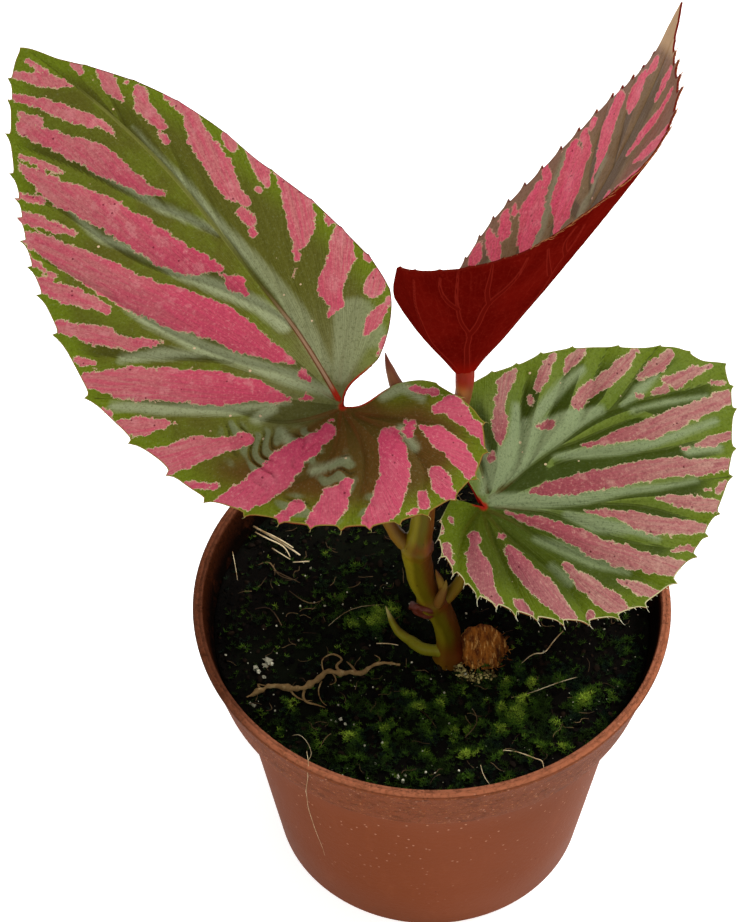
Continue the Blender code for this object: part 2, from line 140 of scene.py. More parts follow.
# %% [markdown]
# Curves through measured points
#
# Stalks, outlines and leaf folds are all given by a few measured points. One curve never swings past
# its points, which suits widths and outlines. The other flows evenly, which suits a stem.

# %% Two kinds of smooth curve


def steady_curve(xs, ys):
    """A curve through (x, y) points that never swings past them."""
    xs = np.asarray(xs, float)
    ys = np.asarray(ys, float)
    step = np.diff(xs)
    slope = np.diff(ys) / step
    tangent = np.zeros(len(xs))
    for i in range(1, len(xs) - 1):
        if slope[i - 1] * slope[i] > 0:
            w1 = 2 * step[i] + step[i - 1]
            w2 = step[i] + 2 * step[i - 1]
            tangent[i] = (w1 + w2) / (w1 / slope[i - 1] + w2 / slope[i])
    tangent[0] = slope[0]
    tangent[-1] = slope[-1]

    def value(x):
        x = np.clip(np.asarray(x, float), xs[0], xs[-1])
        i = np.clip(np.searchsorted(xs, x, side="right") - 1, 0, len(step) - 1)
        t = (x - xs[i]) / step[i]
        near = (1 + 2 * t) * (1 - t) ** 2 * ys[i] + t * (1 - t) ** 2 * step[i] * tangent[i]
        far = t * t * (3 - 2 * t) * ys[i + 1] + t * t * (t - 1) * step[i] * tangent[i + 1]
        return near + far

    return value


def flowing_curve(xs, points):
    """A natural cubic through points at the positions xs."""
    xs = np.asarray(xs, float)
    points = np.asarray(points, float)
    count = len(xs)
    h = np.diff(xs)
    system = np.eye(count)
    right = np.zeros_like(points)
    for i in range(1, count - 1):
        system[i, i - 1] = h[i - 1]
        system[i, i] = 2 * (h[i - 1] + h[i])
        system[i, i + 1] = h[i]
        right[i] = 6 * ((points[i + 1] - points[i]) / h[i] - (points[i] - points[i - 1]) / h[i - 1])
    bend = np.linalg.solve(system, right)

    def value(x):
        x = np.asarray(x, float)
        i = np.clip(np.searchsorted(xs, x, side="right") - 1, 0, count - 2)
        a = (xs[i + 1] - x)[..., None]
        b = (x - xs[i])[..., None]
        w = h[i][..., None]
        cubic = (bend[i] * a ** 3 + bend[i + 1] * b ** 3) / (6 * w)
        line = (points[i] / w - bend[i] * w / 6) * a + (points[i + 1] / w - bend[i + 1] * w / 6) * b
        return cubic + line

    return value


def length_along(points):
    """The distance travelled at each point of a chain."""
    return np.concatenate([[0], np.cumsum(np.linalg.norm(np.diff(points, axis=0), axis=1))])


def unit(vectors):
    vectors = np.asarray(vectors, float)
    return vectors / np.linalg.norm(vectors, axis=-1, keepdims=True)


def soft_step(value, start, end):
    t = np.clip((value - start) / (end - start), 0, 1)
    return t * t * (3 - 2 * t)


# %% [markdown]
# Mixing colours with nodes
#
# Every finish is made from noise, cells and the numbers stored on the mesh, so nothing is painted from
# a picture. This small class lays the nodes out and keeps the material cells short.

# %% A helper for node materials


def shade(code):
    """A colour as written for the screen, such as 7b3f2a, turned into linear light."""
    parts = [int(code[i:i + 2], 16) / 255 for i in (0, 2, 4)]
    return tuple(c / 12.92 if c <= 0.04045 else ((c + 0.055) / 1.055) ** 2.4 for c in parts) + (1.0,)


class Skin:
    """A Principled material with short names for the nodes that feed it."""

    def __init__(self, name, roughness, **sockets):
        self.material = bpy.data.materials.new(name)
        self.material.use_nodes = True
        self.tree = self.material.node_tree
        self.shader = self.tree.nodes["Principled BSDF"]
        self.shader.inputs["Roughness"].default_value = roughness
        for socket, value in sockets.items():
            self.shader.inputs[socket.replace("_", " ")].default_value = value
        self.here = self.node("TexCoord").outputs["Object"]

    def node(self, kind, **settings):
        made = self.tree.nodes.new("ShaderNode" + kind)
        for setting, value in settings.items():
            setattr(made, setting, value)
        return made

    def feed(self, socket, value):
        """Link a node's output, or set a number or a colour written as six digits."""
        if isinstance(value, bpy.types.NodeSocket):
            self.tree.links.new(value, socket)
        elif isinstance(value, str):
            socket.default_value = shade(value)
        else:
            socket.default_value = value

    def stored(self, name):
        return self.node("Attribute", attribute_name=name).outputs["Fac"]

    def noise(self, scale, detail=2.0, roughness=0.5, stretch=None):
        made = self.node("TexNoise")
        self.feed(made.inputs["Vector"], self.stretched(stretch))
        made.inputs["Scale"].default_value = scale
        made.inputs["Detail"].default_value = detail
        made.inputs["Roughness"].default_value = roughness
        return made.outputs["Fac"]

    def streaks(self, bearing, reach, across, along):
        """Noise drawn out along the rays of a leaf."""
        made = self.node("TexNoise")
        spot = self.node("CombineXYZ")
        self.feed(spot.inputs["X"], self.times(bearing, across))
        self.feed(spot.inputs["Y"], self.times(reach, along))
        self.feed(made.inputs["Vector"], spot.outputs[0])
        made.inputs["Scale"].default_value = 1.0
        made.inputs["Detail"].default_value = 3.0
        made.inputs["Roughness"].default_value = 0.65
        return made.outputs["Fac"]

    def cells(self, scale, feature="F1"):
        made = self.node("TexVoronoi", feature=feature)
        self.feed(made.inputs["Vector"], self.here)
        made.inputs["Scale"].default_value = scale
        return made.outputs["Distance"]

    def stretched(self, stretch):
        if stretch is None:
            return self.here
        made = self.node("Mapping")
        self.feed(made.inputs["Vector"], self.here)
        made.inputs["Scale"].default_value = stretch
        return made.outputs["Vector"]

    def math(self, operation, a, b=0.0):
        made = self.node("Math", operation=operation)
        self.feed(made.inputs[0], a)
        self.feed(made.inputs[1], b)
        return made.outputs[0]

    def plus(self, a, b):
        return self.math("ADD", a, b)

    def less(self, a, b):
        return self.math("SUBTRACT", a, b)

    def times(self, a, b):
        return self.math("MULTIPLY", a, b)

    def wobble(self, noise_value, amount):
        """Noise centred on nought, up to about half the amount either way."""
        return self.times(self.less(noise_value, 0.5), amount)

    def between(self, value, start, end):
        """A soft rise from 0 at start to 1 at end."""
        made = self.node("MapRange", interpolation_type="SMOOTHSTEP")
        self.feed(made.inputs["Value"], value)
        made.inputs["From Min"].default_value = start
        made.inputs["From Max"].default_value = end
        return made.outputs["Result"]

    def dots(self, scale, size, patch_scale, patch_detail, patch_start):
        """Small round dots that stand only in the patches of a coarser noise."""
        patch = self.math("GREATER_THAN", self.noise(patch_scale, patch_detail), patch_start)
        return self.times(self.math("LESS_THAN", self.cells(scale), size), patch)

    def blend(self, factor, a, b):
        made = self.node("Mix", data_type="RGBA")
        for number, value in ((0, factor), (6, a), (7, b)):
            self.feed(made.inputs[number], value)
        return made.outputs[2]

    def layered(self, tone, layers):
        """Lay (mask, amount, colour) layers over the tone, one after another."""
        for mask, amount, colour in layers:
            tone = self.blend(self.times(mask, amount), tone, colour)
        return tone

    def colour(self, value):
        self.feed(self.shader.inputs["Base Color"], value)

    def rough(self, value):
        self.feed(self.shader.inputs["Roughness"], value)

    def bump(self, height, distance, after=None):
        """Relief from a height of 0 to 1, with distance in metres."""
        made = self.node("Bump")
        made.inputs["Distance"].default_value = distance
        self.feed(made.inputs["Height"], height)
        if after is not None:
            self.feed(made.inputs["Normal"], after)
        self.feed(self.shader.inputs["Normal"], made.outputs["Normal"])
        return made.outputs["Normal"]


# %% [markdown]
# Camera, floor and light
#
# The plant was seen from well above, through a long lens, so its lines hardly converge. A pale floor and
# a bright, even sky act as the studio sweep. One broad lamp from the right and behind draws the pleats of
# the leaves, and a weaker one from the front left keeps the soil readable.

# %% Camera at the picture's angle
bpy.ops.object.camera_add(location=(-0.015537, -0.767538, 1.079585), rotation=(math.radians(39.3), 0, 0))
camera = bpy.context.object
camera.data.sensor_width = 36.0
camera.data.lens = 195.2
camera.data.clip_start = 0.01
camera.data.clip_end = 20.0
bpy.context.scene.camera = camera
print("camera stands", round(camera.location.length, 3), "m from the pot's foot")

# %% Floor and studio light
bpy.context.scene.view_settings.view_transform = "Standard"
bpy.ops.mesh.primitive_plane_add(size=8.0, location=(0, 0, 0))
floor = bpy.context.object
floor.name = "floor"
glow = {"Emission_Color": (1, 1, 1, 1), "Emission_Strength": 0.62}
floor_paint = Skin("pale floor", 0.9, Specular_IOR_Level=0.0, **glow)
floor_paint.colour(floor_paint.blend(floor_paint.noise(3.0), "f4f3f1", "efeeec"))
floor.data.materials.append(floor_paint.material)

world = bpy.data.worlds.new("studio sky")
bpy.context.scene.world = world
world.use_nodes = True
world.node_tree.nodes["Background"].inputs["Color"].default_value = (1.0, 0.99, 0.97, 1.0)
world.node_tree.nodes["Background"].inputs["Strength"].default_value = 0.5


def lamp(name, place, target, width, height, watts):
    bpy.ops.object.light_add(type="AREA", location=place)
    light = bpy.context.object
    light.name = name
    light.data.shape = "RECTANGLE"
    light.data.size = width
    light.data.size_y = height
    light.data.energy = watts
    aim = Vector(target) - Vector(place)
    light.rotation_euler = aim.to_track_quat("-Z", "Y").to_euler()


lamp("key lamp", (1.56, 0.57, 2.0), (0, 0, 0.12), 0.7, 0.6, 70.0)
lamp("front lamp", (-0.7, -1.9, 1.7), (0, 0, 0.1), 1.2, 0.8, 19.0)

# %% [markdown]
# The pot
#
# A nursery pot is blown or moulded plastic a little under 2 mm thick, with a flared collar and a lip that
# is rounded outside and carries a fine groove on top. Turning a profile is the natural way to make it:
# a circle is extruded ring by ring, each new ring scaled to its radius.

# %% Turn a profile by extruding rings


def turned(name, profile, sides):
    """Extrude a circle along a (radius, height) profile in mm and close both ends."""
    deselect_all()
    radius, height = profile[0]
    start = (0, 0, height * MM)
    bpy.ops.mesh.primitive_circle_add(vertices=sides, radius=radius * MM, fill_type="NGON", location=start)
    piece = bpy.context.object
    piece.name = name
    bpy.ops.object.transform_apply(location=True, rotation=True, scale=True)
    bpy.ops.object.mode_set(mode="EDIT")
    bpy.ops.mesh.select_mode(type="EDGE")
    bpy.ops.mesh.select_all(action="SELECT")
    for next_radius, next_height in profile[1:]:
        rise = (0, 0, (next_height - height) * MM)
        bpy.ops.mesh.extrude_edges_move(TRANSFORM_OT_translate={"value": rise})
        grow = next_radius / radius
        bpy.ops.transform.resize(value=(grow, grow, 1.0), center_override=(0, 0, 0))
        radius, height = next_radius, next_height
    bpy.ops.mesh.edge_face_add()
    bpy.ops.object.mode_set(mode="OBJECT")
    face_outwards(piece)
    return piece


POT_PROFILE = [
    (1.0, 0.0), (12.0, 0.0), (12.7, 0.5), (13.5, 2.0), (34.0, 2.0), (35.0, 0.6), (35.6, 0.0), (38.4, 0.0),
    (39.1, 0.25), (39.5, 0.9), (42.5, 18.6), (45.0, 33.5), (48.0, 51.0), (50.6, 66.3), (50.9, 66.8),
    (51.6, 67.0), (54.3, 67.1), (54.8, 67.3), (55.1, 67.9), (56.6, 73.5), (58.4, 80.0), (59.6, 83.6),
    (60.0, 84.5), (60.1, 85.1), (59.95, 85.6), (59.55, 85.95), (59.1, 86.0), (58.85, 85.8), (58.6, 85.78),
    (58.4, 85.95), (58.0, 86.0), (57.75, 85.8), (57.6, 85.3), (57.3, 84.0), (55.6, 77.5), (53.4, 69.2),
    (52.6, 68.6), (49.2, 68.3), (48.9, 67.6), (45.0, 45.0), (38.4, 6.2), (37.6, 5.0), (36.6, 4.2),
    (34.0, 4.0), (1.0, 4.0),
]
pot = turned("nursery_pot", POT_PROFILE, 160)

# %% Drill the drain holes
DRAIN_HOLES = 6
DRAIN_CIRCLE = 24.0
DRAIN_RADIUS = 4.0
drills = []
for number in range(DRAIN_HOLES):
    turn = math.radians(60 * number + 30)
    place = (DRAIN_CIRCLE * MM * math.cos(turn), DRAIN_CIRCLE * MM * math.sin(turn), 3 * MM)
    bpy.ops.mesh.primitive_cylinder_add(vertices=28, radius=DRAIN_RADIUS * MM, depth=8 * MM, location=place)
    drills.append(bpy.context.object)
drill = join("drain_drills", drills)
hole = pot.modifiers.new("drain holes", "BOOLEAN")
hole.operation = "DIFFERENCE"
hole.object = drill
apply_modifiers(pot)
bpy.data.objects.remove(drill)
pick(pot)
bpy.ops.object.shade_smooth_by_angle(angle=math.radians(40))
print("the pot has", DRAIN_HOLES, "drain holes")

# %% [markdown]
# The plastic is a dull brown terracotta. It is satin, with faint flow marks round the wall, dust caught
# on the collar, and pale grit and a few dark flecks where wet soil has dried on it. Light is painted in
# too: a highlight along the lip, shade on the left of the collar top and lip, and shade over the inner
# wall above the soil.

# %% Pot plastic
clay = Skin("terracotta pot plastic", 0.5, Specular_IOR_Level=0.012)
place = clay.node("SeparateXYZ")
clay.feed(place.inputs[0], clay.here)
rightward, backward, up = (place.outputs[axis] for axis in "XYZ")
out_square = clay.plus(clay.math("POWER", rightward, 2.0), clay.math("POWER", backward, 2.0))
out = clay.math("POWER", out_square, 0.5)
flow_marks = clay.between(clay.noise(260, 4, 0.7, (1, 1, 0.25)), 0.5, 0.85)
collar = clay.between(up, 0.0655, 0.0675)
dust = clay.times(collar, clay.between(clay.noise(1100, 4, 0.8), 0.52, 0.62))
stain = clay.between(clay.noise(230, 4, 0.75, (1, 1, 1.6)), 0.5, 0.62)
mud = clay.between(clay.noise(420, 4, 0.75, (1, 1, 2.5)), 0.54, 0.66)
grit = clay.times(clay.dots(420, 0.125, 90, 2, 0.46), clay.between(up, 0.0, 0.06))
inner_slope = clay.less(out, clay.times(up, 0.2635))
# The inner wall above the soil is darkened as painted shade, near black in patches up to just below the lip.
inside = clay.times(clay.math("LESS_THAN", inner_slope, 0.0361), clay.between(up, 0.070, 0.072))
inner_shade_band = clay.times(clay.between(clay.noise(170, 4, 0.7), 0.3, 0.5), clay.between(up, 0.0852, 0.0825))
# A painted highlight runs along the lip in patches.
lip_highlight = clay.times(clay.between(up, 0.0846, 0.0858), clay.between(clay.noise(200, 3), 0.1, 0.45))
lip_line = clay.times(clay.between(up, 0.0850, 0.0853), clay.between(up, 0.0857, 0.0854))
# Painted shade darkens the left of the collar top and the lip.
shaded_left_rim = clay.times(clay.between(rightward, -0.036, -0.056), clay.between(up, 0.078, 0.084))
clay.colour(clay.layered(clay.blend(clay.noise(28, 3), "673319", "72391f"), [
    (flow_marks, 0.25, "84492c"),
    (dust, 0.65, "ae6c44"),
    (clay.times(collar, stain), 0.7, "5a2a10"),
    (clay.times(collar, mud), 0.7, "4c2412"),
    (grit, 0.55, "b98a70"),
    (clay.dots(150, 0.06, 60, 1, 0.55), 0.7, "5c2a18"),
    (inside, 1.0, "301509"),
    (inside, inner_shade_band, "0a0503"),
    (lip_highlight, 0.6, "a8674a"),
    (lip_line, 0.6, "50240f"),
    (shaded_left_rim, 0.7, "37180a"),
]))
relief = clay.bump(clay.noise(700, 4, 0.7), 0.00012)
relief = clay.bump(dust, 0.0002, relief)
clay.bump(grit, 0.0003, relief)
dress(pot, clay, "pot_plastic", "pot")

# %% [markdown]
# The soil
#
# The soil is a damp dark peat mix that has settled about 9 mm below the lip. It is turned like the pot,
# with many rings over the top, and those rings are then raised by layered noise into clods.

# %% Soil plug with a rough top
SOIL_LEVEL = 77.0


def soil_height(x, y):
    """Top of the soil in mm: long low swells and a little heap round the cane."""
    swell = 0.45 * math.sin(0.13 * x + 0.7) * math.cos(0.11 * y - 0.4)
    swell += 0.35 * math.sin(0.29 * x - 0.21 * y + 1.9)
    swell += 0.25 * math.cos(0.23 * x + 0.37 * y)
    heap = 0.7 * math.exp(-((x - 8) ** 2 + (y + 8) ** 2) / 180.0)
    edge = max(0.0, math.hypot(x, y) - 42.0) / 12.0
    return SOIL_LEVEL + swell + heap - 0.8 * edge


def clods(x, y):
    """Lumps and pits of the peat, in mm."""
    lumps = noise.fractal(Vector((x * 0.16, y * 0.16, 3.1)), 0.9, 2.1, 4)
    pits = noise.noise(Vector((x * 0.55, y * 0.55, 8.0)))
    return 0.9 * lumps + 0.5 * pits


SOIL_SIDE = [(36.3, 4.4), (38.1, 6.4), (48.6, 68.8), (52.9, 69.4), (55.0, 75.0)]
TOP_RINGS = 56
soil_rings = [(54.9 - 53.9 * step / TOP_RINGS, SOIL_LEVEL) for step in range(TOP_RINGS + 1)]
soil = turned("peat_soil", SOIL_SIDE + soil_rings, 200)
heights = points_of(soil)
for point in heights:
    if point[2] > SOIL_LEVEL - 1:
        point[2] = soil_height(point[0], point[1]) + clods(point[0], point[1]) - 0.3
set_points(soil, heights)
smooth(soil)
print("the soil rises to", round(max(heights[:, 2]), 1), "mm")

# %% Peat colour
peat = Skin("dark damp peat", 0.9, Specular_IOR_Level=0.03)
peat.colour(peat.layered(peat.blend(peat.noise(160, 5, 0.7), "040303", "0f0c08"), [
    (peat.between(peat.noise(700, 4, 0.7), 0.58, 0.75), 0.5, "231a11"),
    (peat.between(peat.noise(45, 3), 0.48, 0.62), 0.55, "10160a"),
]))
peat.rough(peat.plus(peat.times(peat.noise(300, 3), 0.5), 0.45))
peat.bump(peat.noise(900, 6, 0.75), 0.0009)
dress(soil, peat, "soil", "soil")

# %% [markdown]
# Scattered repeats
#
# Crumbs of peat, grains of perlite and sprigs of moss repeat many hundreds of times. One of each is
# modelled from a primitive, and the mesh of that one is then copied to places drawn from a seeded
# list. All copies of a kind end in one piece.

# %% Copy one small shape to many places


def pattern_of(piece):
    """Points in mm and faces of a modelled piece, which is then removed."""
    points = points_of(piece)
    faces = [tuple(face.vertices) for face in piece.data.polygons]
    bpy.data.objects.remove(piece)
    return points, faces


def scattered(name, pattern, places, tones):
    """Copies of the pattern at (x, y, z, size, turn, lean, lean_turn) places, in mm and radians."""
    points, faces = pattern
    all_points, all_faces, all_tones = [], [], []
    for number, (x, y, z, size, turn, lean, lean_turn) in enumerate(places):
        spin = Euler((0, 0, turn)).to_matrix()
        tip = Euler((lean, 0, lean_turn)).to_matrix()
        move = np.array(tip @ spin)
        first = number * len(points)
        all_points.append(points @ move.T * size + (x, y, z))
        all_faces.extend(tuple(first + i for i in face) for face in faces)
        all_tones.append(np.full(len(points), tones[number]))
    mesh = bpy.data.meshes.new(name)
    mesh.from_pydata((np.vstack(all_points) * MM).tolist(), [], all_faces)
    mesh.update()
    piece = bpy.data.objects.new(name, mesh)
    bpy.context.collection.objects.link(piece)
    mark(piece, "tone", np.concatenate(all_tones))
    low, high = points[:, 2].min(), points[:, 2].max()
    mark(piece, "tip", np.tile((points[:, 2] - low) / (high - low), len(places)))
    return piece


def on_soil(x, y):
    return soil_height(x, y) + clods(x, y) - 0.3


def soil_spots(rng, count, radius):
    """Even random places inside a circle."""
    reach = radius * np.sqrt(rng.random(count))
    turn = rng.random(count) * 2 * math.pi
    return np.column_stack([reach * np.cos(turn), reach * np.sin(turn)])


def lumpy_ball(rng, subdivisions, roughness, stretch):
    """A ball 1 mm in radius, made lumpy and pressed, kept as a pattern."""
    bpy.ops.mesh.primitive_ico_sphere_add(subdivisions=subdivisions, radius=1 * MM)
    ball = bpy.context.object
    points = points_of(ball)
    set_points(ball, points * (1 + roughness * (rng.random((len(points), 1)) - 0.5)) * stretch)
    return pattern_of(ball)


def toned_skin(name, roughness, shine, power, dark, pale):
    """A skin that runs from dark to pale with the tone stored on each copy."""
    skin = Skin(name, roughness, Specular_IOR_Level=shine)
    skin.colour(skin.blend(skin.math("POWER", skin.stored("tone"), power), dark, pale))
    return skin


# %% Peat crumbs
rng = np.random.default_rng(11)
CRUMBS = 2400
FULL_TURN = 6.3
crumb_shape = lumpy_ball(rng, 1, 0.35, (1.1, 0.8, 0.6))
crumb_places = []
for x, y in soil_spots(rng, CRUMBS, 54.2):
    size = 0.3 + 0.9 * rng.random() ** 3
    turn, lean, lean_turn = FULL_TURN * rng.random(), 0.7 * rng.random(), FULL_TURN * rng.random()
    crumb_places.append((x, y, on_soil(x, y) + 0.1 * size, size, turn, lean, lean_turn))
crumbs = scattered("peat_crumbs", crumb_shape, crumb_places, rng.random(CRUMBS))
crumb_skin = toned_skin("peat crumbs", 0.92, 0.05, 3.5, "040303", "20170f")
crumb_skin.bump(crumb_skin.noise(1800, 4), 0.0003)
dress(crumbs, crumb_skin, "soil")

# %% Perlite grains
grain_shape = lumpy_ball(rng, 2, 0.9, (1.15, 0.85, 0.8))
PERLITE = [
    (-41.1, -11.6, 1.1), (-41.8, -12.8, 0.8), (-40.2, -12.2, 0.6), (-44.1, -13.8, 0.8), (-43.4, -14.6, 0.6),
    (-42.0, -16.4, 0.5), (-8.6, -47.7, 0.7), (-7.4, -48.4, 0.6), (-9.6, -46.6, 0.5), (-6.8, -46.9, 0.4),
    (-44.6, -25.2, 0.6), (-45.4, -24.4, 0.4), (-24.0, -31.0, 0.4), (-22.8, -30.2, 0.5), (-21.6, -31.4, 0.4),
    (-14.2, -43.6, 0.4),
]
LOOSE_GRAINS = 240
grain_places = []
for x, y, size in PERLITE:
    grain_places.append((x, y, on_soil(x, y) + 0.9 * size, size, FULL_TURN * rng.random(), 0.7, 2.0))
for x, y in soil_spots(rng, LOOSE_GRAINS, 53.5):
    size = 0.08 + 0.24 * rng.random() ** 3
    height = on_soil(x, y) + 0.8 + 1.2 * rng.random()
    grain_places.append((x, y, height, size, FULL_TURN * rng.random(), 0.3, 0.0))
grains = scattered("perlite_grains", grain_shape, grain_places, rng.random(len(grain_places)))
grain_skin = toned_skin("perlite", 0.85, 0.5, 1.0, "66634c", "c4c2a8")
grain_skin.bump(grain_skin.noise(2500, 4), 0.0003)
dress(grains, grain_skin, "soil")

# %% [markdown]
# Moss
#
# Moss covers most of the front half of the soil as a dark, broken carpet, with a few brighter tufts.
# A sprig is a rosette of six pointed leaflets. Each leaflet is a slim closed cone, so it catches light
# from every side. The carpet's thickness follows noise, and is greatest near the front of the pot.

# %% One sprig of moss
leaflets = []
for number in range(6):
    turn = math.radians(60 * number + 12 * (number % 2))
    lean = math.radians(58 if number % 2 else 34)
    bpy.ops.mesh.primitive_cone_add(vertices=3, radius1=0.3 * MM, radius2=0, depth=1.5 * MM)
    leaflet = bpy.context.object
    shape = points_of(leaflet) + (0, 0, 0.75)
    set_points(leaflet, shape * (1.0, 0.45, 1.0))
    leaflet.rotation_euler = (0, lean, turn)
    fix_place(leaflet)
    leaflets.append(leaflet)
sprig_shape = pattern_of(join("moss_sprig", leaflets))
print("one sprig has", len(sprig_shape[1]), "faces")

# %% Lay the carpet
MOSS_PATCHES = [
    (-23, 10, 10, 13, 0.45), (-14, 1, 8, 7, 0.9), (-8, -27, 15, 10, 1.0), (11, -33, 24, 13, 1.0),
    (33, -27, 16, 12, 1.0), (-21, -37, 16, 9, 1.0), (0, -45, 26, 8, 1.0), (47, -12, 6, 14, 0.7),
    (24, -19, 16, 7, 0.9), (-36, -31, 9, 7, 0.7), (-36, 4, 8, 10, 0.15), (16, -8, 30, 6, 0.1),
]
BRIGHT_TUFTS = [
    (20.5, -29.3, 4.2), (17.6, -26.8, 2.6), (22.4, -25.0, 2.4), (37.6, -24.7, 3.4), (39.6, -22.0, 2.2),
    (-13.6, 2.4, 4.4), (-10.0, 4.6, 2.6), (24.9, -20.0, 2.2), (17.0, -33.4, 2.6), (30.6, -31.6, 2.4),
    (-19.8, -0.6, 2.4), (-12.0, -33.0, 2.4), (-21.0, -36.0, 2.6), (-3.0, -27.5, 3.0), (2.0, -24.6, 2.2),
    (8.0, -41.0, 2.4), (32.5, -39.0, 2.0), (5.5, -33.5, 2.0),
]


def moss_cover(x, y):
    """How much moss grows at a spot, from 0 to 1."""
    cover = 0.10
    for a, b, wide, deep, share in MOSS_PATCHES:
        away = ((x - a) / wide) ** 2 + ((y - b) / deep) ** 2
        cover = max(cover, share * math.exp(-away ** 1.6 * 0.9))
    gaps = 0.5 + 1.1 * noise.noise(Vector((x * 0.24, y * 0.24, 21.0)))
    gaps += 0.5 * noise.noise(Vector((x * 0.6, y * 0.6, 2.0)))
    return cover * (0.05 + 0.95 * soft_step(gaps, 0.3, 0.62))


MOSS_TRIES = 46000
MOST_SPRIGS = 8200
moss_places, moss_tones = [], []
for x, y in soil_spots(rng, MOSS_TRIES, 54.0):
    tuft = max(math.exp(-((x - a) ** 2 + (y - b) ** 2) / (c * c * 0.45)) for a, b, c in BRIGHT_TUFTS)
    bare = rng.random() > moss_cover(x, y) + 0.8 * tuft
    under_cane = math.hypot(x - 4, y + 10) < 4.5
    if bare or under_cane or len(moss_places) >= MOST_SPRIGS:
        continue
    clump = max(0.0, noise.noise(Vector((x * 0.3, y * 0.3, 60.0))))
    cushion = max(0.0, noise.noise(Vector((x * 0.12, y * 0.12, 40.0))))
    size = 0.4 + 0.45 * rng.random() + 0.1 * tuft
    lift = 0.3 + 1.6 * clump + 1.8 * cushion + 1.4 * tuft
    height = on_soil(x, y) + lift * (0.4 + 0.6 * rng.random())
    turn, lean, lean_turn = FULL_TURN * rng.random(), 0.8 * rng.random(), FULL_TURN * rng.random()
    moss_places.append((x, y, height, size, turn, lean, lean_turn))
    tone = 0.22 * rng.random() ** 2 + 0.75 * clump + 0.75 * tuft * (0.6 + 0.4 * rng.random())
    moss_tones.append(min(1.0, tone))
moss = scattered("moss_carpet", sprig_shape, moss_places, moss_tones)
moss_skin = Skin("dark moss", 0.6, Specular_IOR_Level=0.1)
lush = moss_skin.stored("tone")
shy = moss_skin.blend(moss_skin.between(moss_skin.noise(90, 2), 0.42, 0.58), "101e17", "21300c")
moss_skin.colour(moss_skin.layered(shy, [
    (moss_skin.between(lush, 0.05, 0.4), 1.0, "44661a"),
    (moss_skin.between(lush, 0.35, 0.9), 1.0, "a9c640"),
    (moss_skin.between(moss_skin.stored("tip"), 0.7, 0.1), 1.0, "0a1205"),
]))
dress(moss, moss_skin, "soil")

# %% [markdown]
# Stems, stalks and shoots
#
# The cane, stalks, bud and shoot are all tapered tubes with swellings. A curve carries a thickness at
# each of its points, so it is drawn first, resampled finely, given a round bevel, and turned into a mesh.
# Small uneven ripples keep it from looking like wire.

# %% Grow a tube along measured points


def tubes(name, runs, bevel_steps):
    """One mesh of round tubes along runs of (x, y, z, radius) points in mm."""
    deselect_all()
    bpy.ops.curve.primitive_bezier_curve_add()
    piece = bpy.context.object
    piece.name = name
    curve = piece.data
    curve.splines.clear()
    for run in runs:
        spline = curve.splines.new("POLY")
        spline.points.add(len(run) - 1)
        for point, (x, y, z, radius) in zip(spline.points, run):
            point.co = (x * MM, y * MM, z * MM, 1.0)
            point.radius = radius
    curve.dimensions = "3D"
    curve.bevel_depth = MM
    curve.bevel_resolution = bevel_steps
    curve.use_fill_caps = True
    bpy.ops.object.convert(target="MESH")
    piece = bpy.context.object
    face_outwards(piece)
    return piece


def grown(name, path, sides=20, pitch=0.7, ripple=0.03):
    """A closed tube along (x, y, z, radius) points in mm."""
    path = np.asarray(path, float)
    length = length_along(path[:, :3])
    line = flowing_curve(length, path[:, :3])
    thick = steady_curve(length, path[:, 3])
    at = np.linspace(0, length[-1], max(6, int(length[-1] / pitch)))
    centres = line(at)
    piece = tubes(name, [np.column_stack([centres, thick(at)])], max(0, sides // 2 - 2))
    shape = points_of(piece)
    rightward = []
    for point in shape:
        nearest = np.argmin(((centres - point) ** 2).sum(1))
        out = point - centres[nearest]
        rightward.append(unit(out)[0])
        swell = noise.noise(Vector((point[0] * 0.6, point[1] * 0.6, point[2] * 0.18)))
        point += out * ripple * swell * 2
    set_points(piece, shape)
    # How far each point faces right, which the skins use for painted light.
    mark(piece, "rightward", rightward)
    smooth(piece)
    return piece


def closeness(piece, spots, reach):
    """1 at any of the spots, falling to 0 at the reach."""
    shape = points_of(piece)
    nearest = np.min([np.linalg.norm(shape - np.asarray(spot, float), axis=1) for spot in spots], axis=0)
    return 1 - soft_step(nearest, 0, reach)


# %% The cane and its joints
CANE = [
    (5.2, -10.2, 66.0, 3.2), (4.9, -10.2, 72.0, 3.6), (4.5, -10.3, 76.5, 4.3), (4.4, -10.2, 78.4, 4.1),
    (4.2, -9.9, 80.6, 3.5), (4.1, -9.7, 83.0, 3.1), (2.8, -9.0, 91.0, 3.1), (1.2, -8.6, 95.2, 3.5),
    (0.5, -8.4, 97.0, 4.1), (-0.1, -8.4, 98.6, 4.2), (-0.7, -8.5, 100.4, 3.6), (-1.7, -8.9, 103.0, 3.2),
    (-3.4, -10.3, 112.5, 3.4), (-4.1, -11.7, 121.0, 3.7), (-4.1, -12.0, 123.0, 4.0),
    (-4.0, -12.2, 124.6, 4.2), (-3.7, -12.2, 126.6, 3.4), (-3.3, -12.1, 129.0, 2.9),
    (-2.6, -11.4, 138.0, 2.8), (-1.5, -8.6, 149.0, 2.9), (-0.8, -6.8, 156.0, 3.5), (-0.6, -6.2, 159.5, 2.6),
    (-0.6, -6.0, 161.0, 1.2),
]
LOW_JOINT = (-0.1, -8.4, 98.4)
HIGH_JOINT = (-4.0, -12.2, 124.6)
TOP_JOINT = (-0.7, -6.5, 157.5)
CANE_FOOT = (4.5, -10.2, 79.0)
cane = grown("jointed_cane", CANE, 28, 0.5, 0.045)
mark(cane, "scar", closeness(cane, [LOW_JOINT, HIGH_JOINT, TOP_JOINT], 6.5))
mark(cane, "foot", closeness(cane, [CANE_FOOT, (4.4, -10.3, 75.0)], 12.0))

